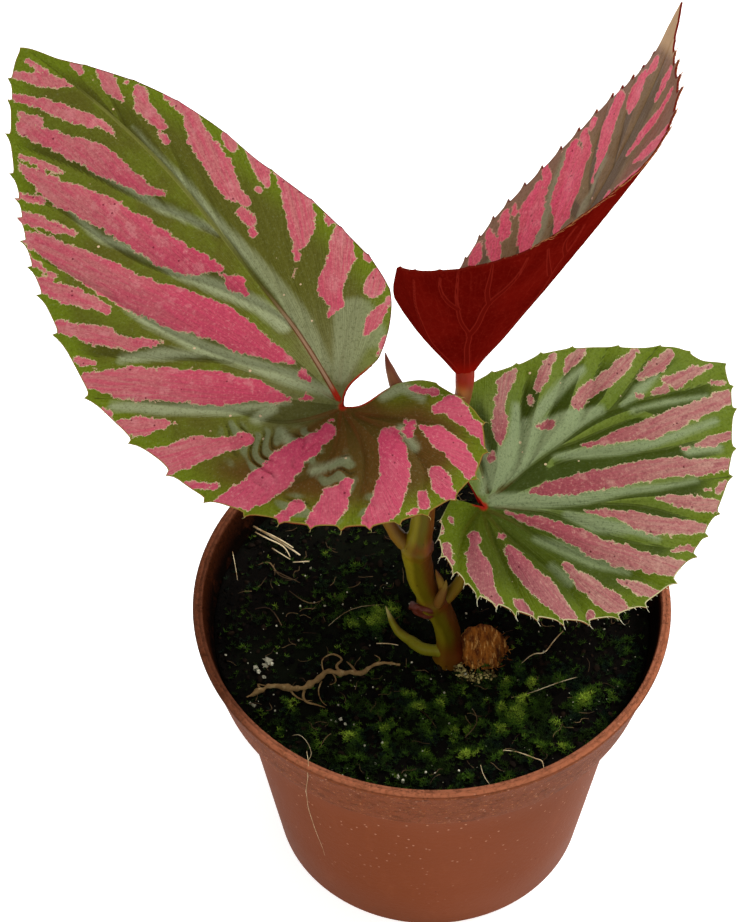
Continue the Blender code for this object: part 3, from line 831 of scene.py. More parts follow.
# %% Olive cane skin
olive = Skin("olive cane skin", 0.45, Specular_IOR_Level=0.06)
# The left of the cane is lightened as a painted highlight and its right is darkened by a red-brown painted
# shade.
side = olive.plus(olive.stored("rightward"), olive.wobble(olive.noise(200, 3, 0.6, (1, 1, 0.3)), 0.7))
olive.colour(olive.layered(olive.blend(olive.noise(120, 3, 0.6, (1, 1, 0.25)), "3f3802", "564a05"), [
    (olive.between(side, -0.1, -0.6), 0.7, "74690f"),
    (olive.between(side, 0.1, 0.75), 0.85, "4a1e06"),
    (olive.between(olive.noise(420, 4, 0.7, (1, 1, 0.12)), 0.52, 0.8), 0.5, "70400f"),
    (olive.between(olive.stored("foot"), 0.15, 0.9), 0.75, "521c08"),
    (olive.between(olive.stored("scar"), 0.1, 0.6), olive.plus(0.35, olive.noise(350, 3)), "561806"),
    (olive.dots(420, 0.14, 200, 1, 0.55), 0.7, "2c1a08"),
]))
olive.bump(olive.noise(600, 4, 0.6, (1, 1, 0.2)), 0.00025)
dress(cane, olive, "cane", "cane")

# %% Three leaf stalks, each led into its blade
LEFT_HUB = (-22.0, -3.0, 166.0)
RIGHT_HUB = (12.1, -4.7, 130.0)
BACK_HUB = (7.0, -0.1, 174.6)
LEFT_STALK = [
    (-3.6, -12.1, 122.6, 2.4), (-5.6, -12.2, 124.2, 2.3), (-7.8, -12.1, 126.4, 2.0),
    (-10.4, -11.9, 131.5, 1.65), (-14.4, -10.6, 142.0, 1.55), (-19.0, -6.6, 155.0, 1.55),
    (-21.2, -4.0, 162.0, 1.6), (-21.8, -3.2, 164.4, 1.5), (-22.0, -3.0, 165.4, 0.8),
]
RIGHT_STALK = [
    (0.6, -8.4, 97.6, 2.4), (2.8, -8.4, 98.8, 2.1), (4.6, -8.3, 100.6, 1.75), (7.0, -8.0, 105.5, 1.5),
    (10.2, -6.6, 116.0, 1.45), (11.8, -5.4, 124.0, 1.45), (12.2, -4.9, 127.6, 1.5),
    (12.2, -4.8, 128.9, 1.3), (12.1, -4.7, 129.6, 0.7),
]
BACK_STALK = [
    (-0.8, -6.4, 157.6, 2.6), (1.2, -5.2, 159.2, 2.3), (3.4, -3.5, 160.6, 2.0), (6.1, -0.6, 164.6, 2.05),
    (6.9, -0.2, 169.5, 2.15), (7.0, -0.1, 172.6, 2.25), (7.0, 0.1, 174.6, 2.3), (7.0, 0.8, 176.2, 2.25),
    (7.1, 1.6, 177.6, 2.0), (7.2, 2.4, 178.8, 1.5), (7.2, 3.0, 179.6, 0.6),
]


def stalk_skin(name, body, flush, edge):
    """Stalk colour: a body tone, painted shade down its right side, a flush where it meets the blade, and
    fine streaks.
    """
    skin = Skin(name, 0.42, Specular_IOR_Level=0.06)
    side = skin.plus(skin.stored("rightward"), skin.wobble(skin.noise(200, 3), 0.6))
    skin.colour(skin.layered(skin.blend(skin.noise(150, 3, 0.6, (1, 1, 0.3)), body, edge), [
        # Painted shade down the right side of the stalk.
        (skin.between(side, 0.0, 0.8), 0.6, "3a1206"),
        (skin.between(skin.stored("glow"), 0.1, 0.9), 1.0, flush),
        (skin.between(skin.noise(500, 3, 0.6, (1, 1, 0.15)), 0.5, 0.8), 0.4, "5c1a0c"),
    ]))
    skin.bump(skin.noise(700, 3, 0.5, (1, 1, 0.2)), 0.00015)
    return skin


def flush_and_dress(stem, glow_spots, glow_reach, skin, slot, node):
    """Mark where a stem flushes, then give it its skin and hand it over."""
    mark(stem, "glow", closeness(stem, glow_spots, glow_reach))
    dress(stem, skin, slot, node)


left_stalk = grown("left_leaf_stalk", LEFT_STALK, 20)
right_stalk = grown("right_leaf_stalk", RIGHT_STALK, 20)
back_stalk = grown("back_leaf_stalk", BACK_STALK, 24)
left_skin = stalk_skin("left stalk skin", "5c4c10", "98301c", "66400f")
right_skin = stalk_skin("right stalk skin", "5c5410", "93331c", "664a12")
back_skin = stalk_skin("back stalk skin", "94602c", "7a180a", "8a4a20")
flush_and_dress(left_stalk, [LEFT_HUB], 14, left_skin, "red_stalk", "left_stalk")
flush_and_dress(right_stalk, [RIGHT_HUB], 9, right_skin, "green_stalk", "right_stalk")
flush_and_dress(back_stalk, [BACK_HUB, (7, 0, 180)], 7.5, back_skin, "red_stalk", "back_stalk")

# %% [markdown]
# Bud, shoot, stub, scales and root
#
# These are the small parts that tell a plant's age: a pointed brown bud, a fresh yellow-green shoot at
# the foot, the corky stub of an older stem with its rough fibres, and the dry scales at the lower joint.

# %% Bud and shoot
TOP_BUD = [
    (-1.6, -6.2, 157.6, 1.9), (-3.4, -4.0, 159.6, 2.0), (-5.8, -1.2, 162.4, 2.0), (-8.8, 2.2, 166.4, 1.75),
    (-10.6, 3.9, 171.0, 1.15), (-11.4, 4.4, 174.0, 0.6), (-11.9, 4.8, 176.6, 0.12),
]
bud = grown("top_leaf_bud", TOP_BUD, 20, 0.5, 0.05)
bud_skin = stalk_skin("brown bud skin", "7a5234", "5a2c1e", "5c3222")
flush_and_dress(bud, [(-11.8, 4.7, 176)], 9, bud_skin, "bud", "top_bud")

BASE_SHOOT = [
    (4.4, -10.4, 79.8, 2.1), (2.6, -10.9, 80.1, 1.9), (0.4, -11.0, 80.4, 1.6), (-3.0, -10.3, 80.7, 1.45),
    (-4.6, -9.0, 80.8, 1.5), (-6.1, -7.8, 80.9, 1.25), (-8.5, -5.9, 81.8, 1.05), (-10.0, -4.1, 83.4, 0.8),
    (-10.9, -2.8, 85.0, 0.5), (-11.6, -1.8, 86.6, 0.1),
]
shoot = grown("basal_shoot", BASE_SHOOT, 18, 0.4, 0.06)
shoot_skin = stalk_skin("green shoot skin", "5f5c0e", "9a9458", "747018")
flush_and_dress(shoot, [(-11.5, -1.9, 86.4)], 5, shoot_skin, "shoot", "base_shoot")

# %% Corky stub with its fibres
OLD_STUB = [
    (11.6, -4.6, 68.0, 4.6), (12.0, -6.2, 73.0, 5.4), (12.6, -8.0, 76.6, 6.0), (13.1, -9.2, 78.6, 6.2),
    (13.4, -9.8, 79.8, 5.7), (13.6, -10.2, 80.6, 4.6), (13.7, -10.4, 81.1, 2.6), (13.7, -10.5, 81.3, 0.6),
]
stub = grown("old_stem_stub", OLD_STUB, 64, 0.3, 0.02)
shape = points_of(stub)
STUB_HEART = (12.6, -8.4, 74.0)
for point in shape:
    way = unit(point - STUB_HEART)
    cords = noise.noise(Vector((way[0] * 7.0, way[1] * 7.0, way[2] * 1.6)))
    lumps = noise.fractal(Vector(point) * 0.4, 0.8, 2.2, 4)
    slant = -0.9 * soft_step(point[0], 13.0, 18.5) + 0.5 * soft_step(point[0], 12.5, 8.0)
    point += way * (0.5 * cords + 0.4 * lumps) + (0, 0, slant)
set_points(stub, shape)

rng = np.random.default_rng(5)
STUB_FIBRES = 110
fibre_runs = []
for number in range(STUB_FIBRES):
    turn, tilt = rng.random() * FULL_TURN, 1.0 + 0.6 * rng.random()
    ring = np.array([math.sin(tilt) * math.cos(turn), math.sin(tilt) * math.sin(turn), 0.9 * math.cos(tilt)])
    start = np.array([13.0, -9.3, 76.9]) + 5.7 * ring
    way = unit(start - (12.6, -8.5, 75.5)) * 0.5 + rng.normal(0, 0.4, 3)
    middle = start + way
    tip = start + way * 1.8 + rng.normal(0, 0.4, 3)
    fibre_runs.append([(*start, 0.12), (*middle, 0.1), (*tip, 0.03)])


def drawn_threads(name, runs, bevel_steps=0):
    """Many thin tapered threads in one mesh, each through its own (x, y, z, radius) points."""
    threads = []
    for run in runs:
        run = np.asarray(run, float)
        if len(run) > 2:
            at = np.arange(len(run), dtype=float)
            fine = np.linspace(0, len(run) - 1, (len(run) - 1) * 3 + 1)
            run = np.column_stack([flowing_curve(at, run[:, :3])(fine), np.interp(fine, at, run[:, 3])])
        threads.append(run)
    piece = tubes(name, threads, bevel_steps)
    smooth(piece)
    return piece


stub = join("old_stem_stub", [stub, drawn_threads("stub_fibres", fibre_runs)])
cork = Skin("corky stub", 0.85, Specular_IOR_Level=0.1)
grain_lines = cork.noise(420, 4, 0.75, (1.6, 0.5, 0.3))
cork.colour(cork.layered(cork.blend(cork.between(grain_lines, 0.35, 0.62), "4a2006", "8c5218"), [
    (cork.between(cork.noise(900, 4, 0.75, (1.6, 0.4, 0.25)), 0.52, 0.66), 0.8, "c89650"),
    (cork.between(cork.noise(150, 2), 0.6, 0.72), 0.7, "2c1004"),
]))
cork.bump(grain_lines, 0.0009)
dress(stub, cork, "cork", "old_stub")

# %% Flakes of bark in front of the stub
FLAKE_ARC = np.array([(6.1, -12.8), (7.5, -20.4), (15.6, -16.2)])
FLAKES = 150
rng = np.random.default_rng(3)
litter_places = []
for number in range(FLAKES):
    share = rng.random()
    weights = np.array([(1 - share) ** 2, 2 * share * (1 - share), share ** 2])
    x, y = weights @ FLAKE_ARC
    x, y = x + rng.normal(0, 0.7), y + rng.normal(0, 0.7)
    size = 0.18 + 0.4 * rng.random() ** 2
    height = on_soil(x, y) + 0.5 + 1.2 * rng.random()
    turn, lean, lean_turn = FULL_TURN * rng.random(), 1.2 * rng.random(), FULL_TURN * rng.random()
    litter_places.append((x, y, height, size, turn, lean, lean_turn))
litter = scattered("stub_litter", crumb_shape, litter_places, rng.random(FLAKES))
dress(litter, toned_skin("flaked bark", 0.8, 0.1, 1.6, "3c2c12", "a89c60"), "cork")

# %% Dry scales at the lower joint


def scale_leaf(name, centre, size, turn, crumple):
    """A ball pressed thin, turned into place and crumpled like dry skin."""
    deselect_all()
    bpy.ops.mesh.primitive_uv_sphere_add(segments=40, ring_count=24, radius=MM)
    piece = bpy.context.object
    piece.name = name
    piece.scale = size
    fix_place(piece)
    shape = points_of(piece)
    for point in shape:
        from_middle = (point[0] / size[0]) ** 2 + (point[2] / size[2]) ** 2
        point[1] += crumple * noise.noise(Vector(point) * 0.8) + 0.07 * point[0] ** 2
        if point[1] < 0.07 * point[0] ** 2:
            point[1] += 0.9 * size[1] * soft_step(from_middle, 0.75, 0.1)
        point *= 1 + 0.12 * noise.noise(Vector(point) * 0.5 + Vector((3, 1, 2)))
    set_points(piece, shape)
    piece.rotation_euler = [math.radians(a) for a in turn]
    piece.location = [c * MM for c in centre]
    fix_place(piece)
    smooth(piece)
    return piece


russet = scale_leaf("russet_joint_scale", (-2.7, -11.2, 96.6), (3.7, 1.5, 3.1), (16, -8, -24), 0.5)
dry = Skin("russet dry scale", 0.5, Specular_IOR_Level=0.2)
dry.colour(dry.layered(dry.blend(dry.noise(300, 4, 0.65), "340f04", "5c220c"), [
    (dry.between(dry.noise(650, 4, 0.7), 0.55, 0.75), 0.5, "7e4c2c"),
]))
dry.bump(dry.noise(700, 4, 0.7), 0.0004)
dress(russet, dry, "russet_scale", "russet_scale")

PINK_BRACT = [
    (1.2, -11.3, 99.2, 0.9), (1.6, -11.7, 101.4, 1.35), (2.2, -11.6, 104.0, 1.2), (2.9, -10.9, 106.6, 0.7),
    (3.2, -10.4, 108.2, 0.12),
]
SLIM_BRACT = [
    (2.6, -10.0, 101.5, 0.8), (2.2, -10.3, 105.5, 1.0), (1.4, -10.6, 109.5, 0.75),
    (0.6, -10.9, 113.0, 0.12),
]
bract_pair = [grown("pink_bract", PINK_BRACT, 16, 0.3), grown("slim_bract", SLIM_BRACT, 16, 0.3)]
bracts = join("pink_joint_scale", bract_pair)
bract_skin = stalk_skin("bract skin", "54420e", "6c561c", "6a3c1c")
flush_and_dress(bracts, [(3.2, -10.4, 108.2)], 5, bract_skin, "bud", "pink_scale")

# %% Surface root
SURFACE_ROOT = [
    (-8.0, -14.2, 0.3), (-11.4, -13.9, 0.4), (-15.1, -14.4, 0.5), (-17.6, -16.3, 0.6), (-20.5, -16.0, 0.5),
    (-23.0, -16.5, 0.8), (-25.5, -15.9, 0.55), (-27.6, -17.7, 0.65), (-30.5, -20.2, 0.8),
    (-33.0, -21.2, 0.7), (-36.3, -21.0, 0.65), (-39.7, -20.0, 0.5), (-42.6, -21.2, 0.7),
    (-44.6, -22.2, 0.5), (-46.4, -23.3, 0.25),
]


def lain(run, lift):
    """Put (x, y, radius) points on the soil, raised by lift."""
    return [(x, y, on_soil(x, y) + radius + lift, radius) for x, y, radius in run]


root = grown("surface_root_main", lain(SURFACE_ROOT, 0.9), 16, 0.35, 0.5)
ROOTLETS = [
    [(-31.8, -21.0, 0.4), (-32.2, -23.1, 0.36), (-31.3, -24.6, 0.3), (-29.2, -25.1, 0.22),
     (-26.7, -26.2, 0.08)],
    [(-22.6, -16.3, 0.45), (-23.9, -13.7, 0.36), (-22.6, -11.6, 0.3), (-24.7, -9.7, 0.25),
     (-26.8, -10.6, 0.2), (-27.6, -12.7, 0.18), (-27.2, -15.8, 0.15)],
    [(-18.9, -16.3, 0.4), (-20.1, -13.7, 0.3), (-21.4, -12.1, 0.1)],
    [(-27.6, -18.9, 0.2), (-28.4, -21.5, 0.16), (-27.6, -24.1, 0.12), (-26.3, -25.6, 0.06)],
    [(-42.6, -21.0, 0.35), (-43.6, -18.9, 0.25), (-41.8, -19.6, 0.1)],
    [(-36.0, -20.8, 0.3), (-33.4, -23.6, 0.22), (-30.0, -24.0, 0.1)],
    [(-15.0, -14.3, 0.25), (-13.0, -12.0, 0.18), (-14.4, -10.4, 0.06)],
    [(-25.0, -16.0, 0.2), (-24.0, -18.4, 0.14), (-25.6, -20.0, 0.06)],
]
rootlets = drawn_threads("surface_rootlets", [lain(run, 0.9) for run in ROOTLETS], 1)
root = join("surface_root_run", [root, rootlets])
bark = Skin("brown root skin", 0.75, Specular_IOR_Level=0.15)
bark.colour(bark.layered(bark.blend(bark.noise(240, 4, 0.65), "4a341a", "907448"), [
    (bark.between(bark.noise(600, 3, 0.6), 0.5, 0.75), 0.5, "b8a272"),
]))
bark.bump(bark.noise(800, 4, 0.7), 0.0004)
dress(root, bark, "root", "surface_root")

# %% Straws and loose fibres
STRAWS = [
    [(-45.4, 31.1, 0.3), (-41.1, 27.9, 0.34), (-36.8, 24.6, 0.32), (-33.4, 21.6, 0.26)],
    [(-44.9, 28.4, 0.2), (-41.1, 26.2, 0.24), (-37.7, 24.1, 0.22), (-35.9, 20.8, 0.12)],
    [(-44.5, 29.5, 0.22), (-39.4, 26.8, 0.26), (-35.1, 23.5, 0.2)],
    [(-40.6, 24.1, 0.2), (-35.9, 20.3, 0.14)], [(-35.1, 18.9, 0.2), (-31.0, 18.5, 0.2)],
    [(-13.9, -7.6, 0.2), (-11.0, -8.2, 0.22), (-8.4, -8.5, 0.16)],
    [(22.5, -13.3, 0.12), (25.6, -10.1, 0.22), (28.2, -9.5, 0.26), (30.4, -6.3, 0.24), (33.1, -3.0, 0.2)],
    [(17.3, -40.7, 0.14), (21.1, -40.2, 0.18), (25.3, -41.9, 0.24), (27.0, -42.6, 0.22), (27.4, -45.7, 0.1)],
    [(11.7, -45.2, 0.12), (12.5, -47.8, 0.14), (14.1, -50.4, 0.08)],
    [(19.7, -24.1, 0.1), (24.9, -22.2, 0.14), (30.9, -20.3, 0.14), (36.2, -17.6, 0.08)],
    [(-52.4, 33.0, 0.12), (-51.4, 26.8, 0.15), (-50.0, 19.2, 0.14), (-49.2, 13.3, 0.08)],
]
FIBRES = [
    [(-44.0, 19.4, 0.14), (-41.0, 19.4, 0.16), (-38.8, 15.4, 0.16), (-34.2, 13.6, 0.1)],
    [(-40.1, 16.5, 0.12), (-33.3, 12.2, 0.1)],
    [(-44.6, 3.7, 0.12), (-40.8, 3.7, 0.14), (-37.8, -1.1, 0.1)],
    [(-6.0, -26.5, 0.1), (-2.0, -29.0, 0.12), (1.0, -33.0, 0.08)],
    [(8.0, -36.0, 0.1), (11.0, -31.0, 0.12), (10.0, -27.0, 0.08)],
    [(-36.0, 9.0, 0.1), (-31.0, 6.0, 0.12), (-27.0, 7.6, 0.08)],
]
LOOSE_FIBRES = 150
rng = np.random.default_rng(23)
for number in range(LOOSE_FIBRES):
    x, y = soil_spots(rng, 1, 51.0)[0]
    way = rng.random() * FULL_TURN
    run = []
    for step in range(4):
        run.append((x, y, 0.04 + 0.06 * rng.random() * (1 - step / 5)))
        way += rng.normal(0, 0.45)
        x += math.cos(way) * (0.6 + 1.2 * rng.random())
        y += math.sin(way) * (0.6 + 1.2 * rng.random())
    if math.hypot(x, y) < 54 and math.hypot(x - 8, y + 9) > 9:
        FIBRES.append(run)
HAIRS = [
    [(-34.9, -35.3, 0.06), (-32.4, -35.8, 0.10), (-30.2, -39.9, 0.10), (-30.7, -43.0, 0.10),
     (-32.7, -45.5, 0.08), (-33.7, -46.5, 0.04)],
    [(-12.0, 6.0, 0.06), (-20.0, 4.0, 0.08), (-26.0, -1.4, 0.06)],
]
fibre_lifts = [0.7 + 0.3 * (number % 3) for number in range(len(FIBRES))]
fibres = drawn_threads("soil_fibres", [lain(run, lift) for run, lift in zip(FIBRES, fibre_lifts)], 1)
mark(fibres, "tone", [0.5 + 0.5 * noise.noise(Vector(point) * 0.13) for point in points_of(fibres)])
fibre_skin = Skin("brown fibre", 0.7, Specular_IOR_Level=0.15)
fibre_tone = fibre_skin.between(fibre_skin.stored("tone"), 0.3, 0.8)
fibre_skin.colour(fibre_skin.blend(fibre_tone, "2c1c10", "7c6644"))
dress(fibres, fibre_skin, "root")

THICK_STRAWS = 5
laid_straws = []
for number, run in enumerate(STRAWS + HAIRS):
    slimmer = 0.85 if number < THICK_STRAWS else 0.62
    thinned = [(x, y, radius * slimmer) for x, y, radius in run]
    laid_straws.append(lain(thinned, 1.0 + 0.4 * (number % 3)))
straws = drawn_threads("pale_straws", laid_straws, 1)
straw_skin = Skin("dry straw", 0.6, Specular_IOR_Level=0.2)
straw_tone = straw_skin.between(straw_skin.noise(300, 3), 0.35, 0.65)
straw_skin.colour(straw_skin.blend(straw_tone, "94784e", "dccaa0"))
dress(straws, straw_skin, "root")

# %% [markdown]
# One long pale hair has blown over the lip and hangs down the front of the pot.

# %% The hair over the lip
OVER_THE_LIP = [
    (-31.0, -44.5, 83.6, 0.033), (-31.0, -47.1, 86.4, 0.059), (-30.6, -50.4, 86.6, 0.059),
    (-30.8, -51.2, 83.6, 0.059), (-30.8, -50.6, 81.0, 0.059), (-31.4, -46.6, 70.0, 0.059),
    (-31.4, -40.6, 60.0, 0.059), (-31.2, -37.0, 50.0, 0.053), (-30.5, -36.4, 44.5, 0.046),
    (-29.3, -35.8, 37.0, 0.040), (-28.0, -35.4, 30.8, 0.033), (-27.1, -35.0, 25.2, 0.020),
]
lip_hair = drawn_threads("hair_over_lip", [OVER_THE_LIP], 1)
dress(lip_hair, straw_skin, "root")

# %% [markdown]
# Where a leaf lies in space
#
# A leaf is drawn flat first, from the point where its stalk joins: a bearing in degrees from the midrib
# and a reach in millimetres. A placing rule then carries each flat spot into space. Two leaves are sheets
# bent over their midribs. The third, at the back, is folded up like a trough.

# %% Placing rules for the three leaves


def bent_sheet(tip, heading, climb, roll, across, droop):
    """A leaf that arches over its midrib, with across and droop in degrees of turn per 10 mm."""
    heading, climb, roll = (math.radians(a) for a in (heading, climb, roll))
    ahead = np.array([math.cos(heading), math.sin(heading), 0.0])
    midrib = ahead * math.cos(climb) + (0.0, 0.0, math.sin(climb))
    level = np.array([-math.sin(heading), math.cos(heading), 0.0])
    square = np.cross(midrib, level)
    left = level * math.cos(roll) + square * math.sin(roll)
    up = square * math.cos(roll) - level * math.sin(roll)
    side_curve = -math.radians(across) / 10
    rib_curve = -math.radians(droop) / 10

    def place(bearing, reach):
        bearing = np.radians(bearing)
        along = reach * np.cos(bearing)
        sideways = reach * np.sin(bearing)
        width = np.sin(side_curve * np.abs(sideways)) / side_curve * np.sign(sideways)
        sag = (1 - np.cos(side_curve * sideways)) / side_curve
        angle = rib_curve * np.abs(along)
        forward = np.sin(angle) / rib_curve * np.sign(along)
        drop = (1 - np.cos(angle)) / rib_curve
        lean = angle * np.sign(along)
        x = forward - sag * np.sin(lean)
        z = drop + sag * np.cos(lean)
        return np.asarray(tip) + x[..., None] * midrib + width[..., None] * left + z[..., None] * up

    return place


def open_funnel(tip, rays, bend):
    """A leaf folded up into a trough, ray by ray from its stalk."""
    aim = flowing_curve([r[0] for r in rays], [r[1:] for r in rays])
    lift = steady_curve([b[0] for b in bend], [b[1] for b in bend])

    def place(bearing, reach):
        bearing = np.asarray(bearing, float)
        ray = unit(aim(bearing))
        turn = unit(aim(bearing + 0.5)) - unit(aim(bearing - 0.5))
        upper = unit(np.cross(ray, turn))
        return np.asarray(tip) + reach[..., None] * ray + (lift(bearing) * reach * reach)[..., None] * upper

    return place


BACK_RAYS = [
    (-136, -0.84, 0.25, 0.49), (-107, -0.61, -0.07, 0.79), (-78, -0.17, -0.14, 0.98),
    (-53, 0.25, -0.05, 0.97), (-33, 0.52, 0.13, 0.84), (-16, 0.68, 0.31, 0.66),
    (0, 0.67, 0.54, 0.51), (20, 0.52, 0.79, 0.32), (51, 0.14, 0.99, 0.01),
    (73, -0.17, 0.96, -0.22), (94, -0.49, 0.82, -0.30),
]
BACK_BEND = [
    (-136, 0.0119), (-116, 0.0119), (-76, 0.0054), (-40, 0.0), (0, 0.0023), (58, 0.0011), (94, 0.0028),
]
left_place = bent_sheet(LEFT_HUB, 130.2, 15.7, -23.9, 1.5, 1.5)
right_place = bent_sheet(RIGHT_HUB, 36.6, 5.5, 21.8, 1.0, 1.2)
back_place = open_funnel(BACK_HUB, BACK_RAYS, BACK_BEND)
print("left hub", LEFT_HUB, "right hub", RIGHT_HUB, "back hub", BACK_HUB)

# %% [markdown]
# The toothed margin
#
# Each outline is a smooth curve of reach against bearing. The teeth are then added where they stand on
# the plant: every tooth has a bearing and a height. A tooth rises steeply on the side nearer the leaf's
# tip and falls away slowly on the other side, so it looks hooked forwards.

# %% Outlines and teeth: (bearing, reach) and (bearing, height)
LEFT_OUTLINE = [
    (-76, 14), (-69, 22), (-61, 30), (-51, 36), (-40, 43), (-29, 54), (-20, 67), (-14, 83),
    (-9, 98), (-4, 113), (-1, 123), (1.5, 133), (7, 122), (12, 111), (16, 102), (22, 92),
    (29, 81), (36, 72), (46, 62.5), (55, 54), (66, 46), (78, 41.5), (92, 36), (112, 31), (139, 29),
    (166, 31), (179, 33), (193, 35), (206, 36), (217, 35), (227, 32), (237, 26), (248, 20), (253, 14),
]
RIGHT_OUTLINE = [
    (-226, 8), (-208, 9.5), (-188, 12), (-172, 15), (-157, 17), (-143, 19), (-128, 23), (-114, 26),
    (-104, 29), (-91, 34), (-80, 39), (-69, 44), (-60, 48), (-51, 51), (-44, 54), (-37, 57),
    (-30, 61), (-22, 65), (-14, 69), (-5, 74), (-2, 75), (1, 71), (6, 68), (12, 60), (20, 53),
    (33, 44), (40, 39), (50, 35), (62, 31), (76, 27), (86, 20),
]
BACK_OUTLINE = [
    (-136, 24), (-121, 28.5), (-108, 31.8), (-87, 33.6), (-71, 35.8), (-58, 40.5), (-49, 45.7),
    (-39, 55.8), (-30, 65), (-22, 72), (-16, 80), (-11, 85), (-6, 87.5), (-2.5, 91), (0, 98),
    (3, 86.5), (8, 79.3), (14, 73.7), (22, 65.6), (32, 56.2), (47, 45.5), (59, 36.5), (68, 31.6),
    (78, 26.5), (88, 21),
]
LEFT_TEETH = [
    (-60, 0.4), (-48, 0.5), (-38, 0.5), (-30, 0.5), (-22, 0.5), (-16, 0.5), (-11, 0.5), (-7, 0.5),
    (-3, 0.5), (4.8, 2.4), (6.6, 2.2), (9.8, 2.6), (13.6, 2.5), (16, 2.2), (18.2, 2.3), (21, 2.4),
    (24.2, 2.4), (28, 2.6), (34, 2.8), (46, 2.8), (58, 2.4), (70, 2.1), (84, 1.9), (98, 1.6), (112, 1.4),
    (126, 1.4), (140, 1.4), (153, 1.4), (166, 1.4), (178, 1.4), (190, 1.5), (201, 1.5), (212, 1.4),
    (223, 1.2), (234, 0.9), (244, 0.6),
]
RIGHT_TEETH = [
    (-194, 1.0), (-178, 0.8), (-164.5, 1.5), (-149.5, 1.7), (-139, 0.9), (-130, 2.0), (-119.5, 1.4),
    (-110, 2.2), (-101, 1.6), (-92, 2.2), (-83.5, 2.2), (-74.5, 2.3), (-66, 2.0), (-55, 2.2), (-46, 1.9),
    (-40, 1.6), (-34, 1.7), (-25, 1.7), (-19, 1.6), (-11, 1.7), (-6.5, 1.3), (4, 0.9), (9, 1.0), (16, 1.0),
    (26, 1.0), (34, 1.0), (41, 0.8), (50, 0.8), (62, 0.7), (75, 0.6),
]
BACK_TEETH = [
    (-102, 0.3), (-90, 0.4), (-78, 0.4), (-66, 0.5), (-55, 0.6), (-46, 0.7), (-38, 0.9), (-31, 1.6),
    (-28, 1.2), (-25, 2.0), (-22, 1.5), (-19, 2.8), (-16, 1.7), (-13, 3.0), (-10, 2.0), (-7, 2.6),
    (-4.6, 1.5), (-2.6, 0.9), (-1.3, 0.6), (1.5, 0.7), (3.5, 1.7), (5.8, 1.6), (8.5, 2.1), (11.2, 1.6),
    (14, 2.1), (18, 2.0), (22.5, 2.1), (27, 2.0), (32, 2.0), (37, 2.0), (42, 1.9), (47, 1.9), (52, 1.8),
    (58, 1.6), (66, 1.2), (76, 0.8),
]
RISE_SHARE = 0.38
TOOTH_SHARE = 0.75
NOTCH_DEPTH = 0.12


def toothed(outline, teeth, ray_pitch):
    """Bearings of the rays, the smooth reach at each and the tooth added to it."""
    smooth = steady_curve([p[0] for p in outline], [p[1] for p in outline])
    peak = max(outline, key=lambda p: p[1])[0]
    keys = [outline[0][0], outline[-1][0], peak]
    pieces = []
    for sign in (-1, 1):
        side = sorted([t for t in teeth if (t[0] - peak) * sign > 0], key=lambda t: (t[0] - peak) * sign)
        side = [(peak, 1.4)] + side
        for (start, height), (end, next_height) in zip(side[:-1], side[1:]):
            notch = start + (end - start) * (1 - RISE_SHARE)
            keys += [notch, end]
            pieces.append((start, notch, end, height, next_height))
        last, height = side[-1]
        pieces.append((last, outline[-1 if sign > 0 else 0][0], None, height, 0.0))

    def added(bearing):
        total = np.zeros_like(bearing)
        for start, notch, end, height, next_height in pieces:
            fall = (bearing - start) / (notch - start)
            inside = (fall >= 0) & (fall <= 1)
            left = 1 - fall[inside]
            low = -NOTCH_DEPTH * (0.5 * (height + next_height) if end is not None else 0.0)
            total[inside] = low + (TOOTH_SHARE * height - low) * (0.22 * left ** 1.6 + 0.78 * left ** 7)
            if end is not None:
                rise = (bearing - notch) / (end - notch)
                inside = (rise > 0) & (rise <= 1)
                up = rise[inside]
                total[inside] = low + (TOOTH_SHARE * next_height - low) * (0.25 * up ** 2 + 0.75 * up ** 7)
        return total

    keys = np.unique(np.round(keys, 4))
    bearings = []
    for start, end in zip(keys[:-1], keys[1:]):
        fine = np.linspace(start, end, 24)
        rim = flat(fine, smooth(fine))
        run = np.linalg.norm(np.diff(rim, axis=0), axis=1).sum()
        count = max(2, int(round(run / ray_pitch)))
        bearings += list(np.linspace(start, end, count, endpoint=False))
    bearings = np.array(bearings + [keys[-1]])
    return bearings, smooth(bearings), added(bearings)


def flat(bearing, reach):
    turn = np.radians(bearing)
    return np.stack([reach * np.cos(turn), reach * np.sin(turn)], axis=-1)
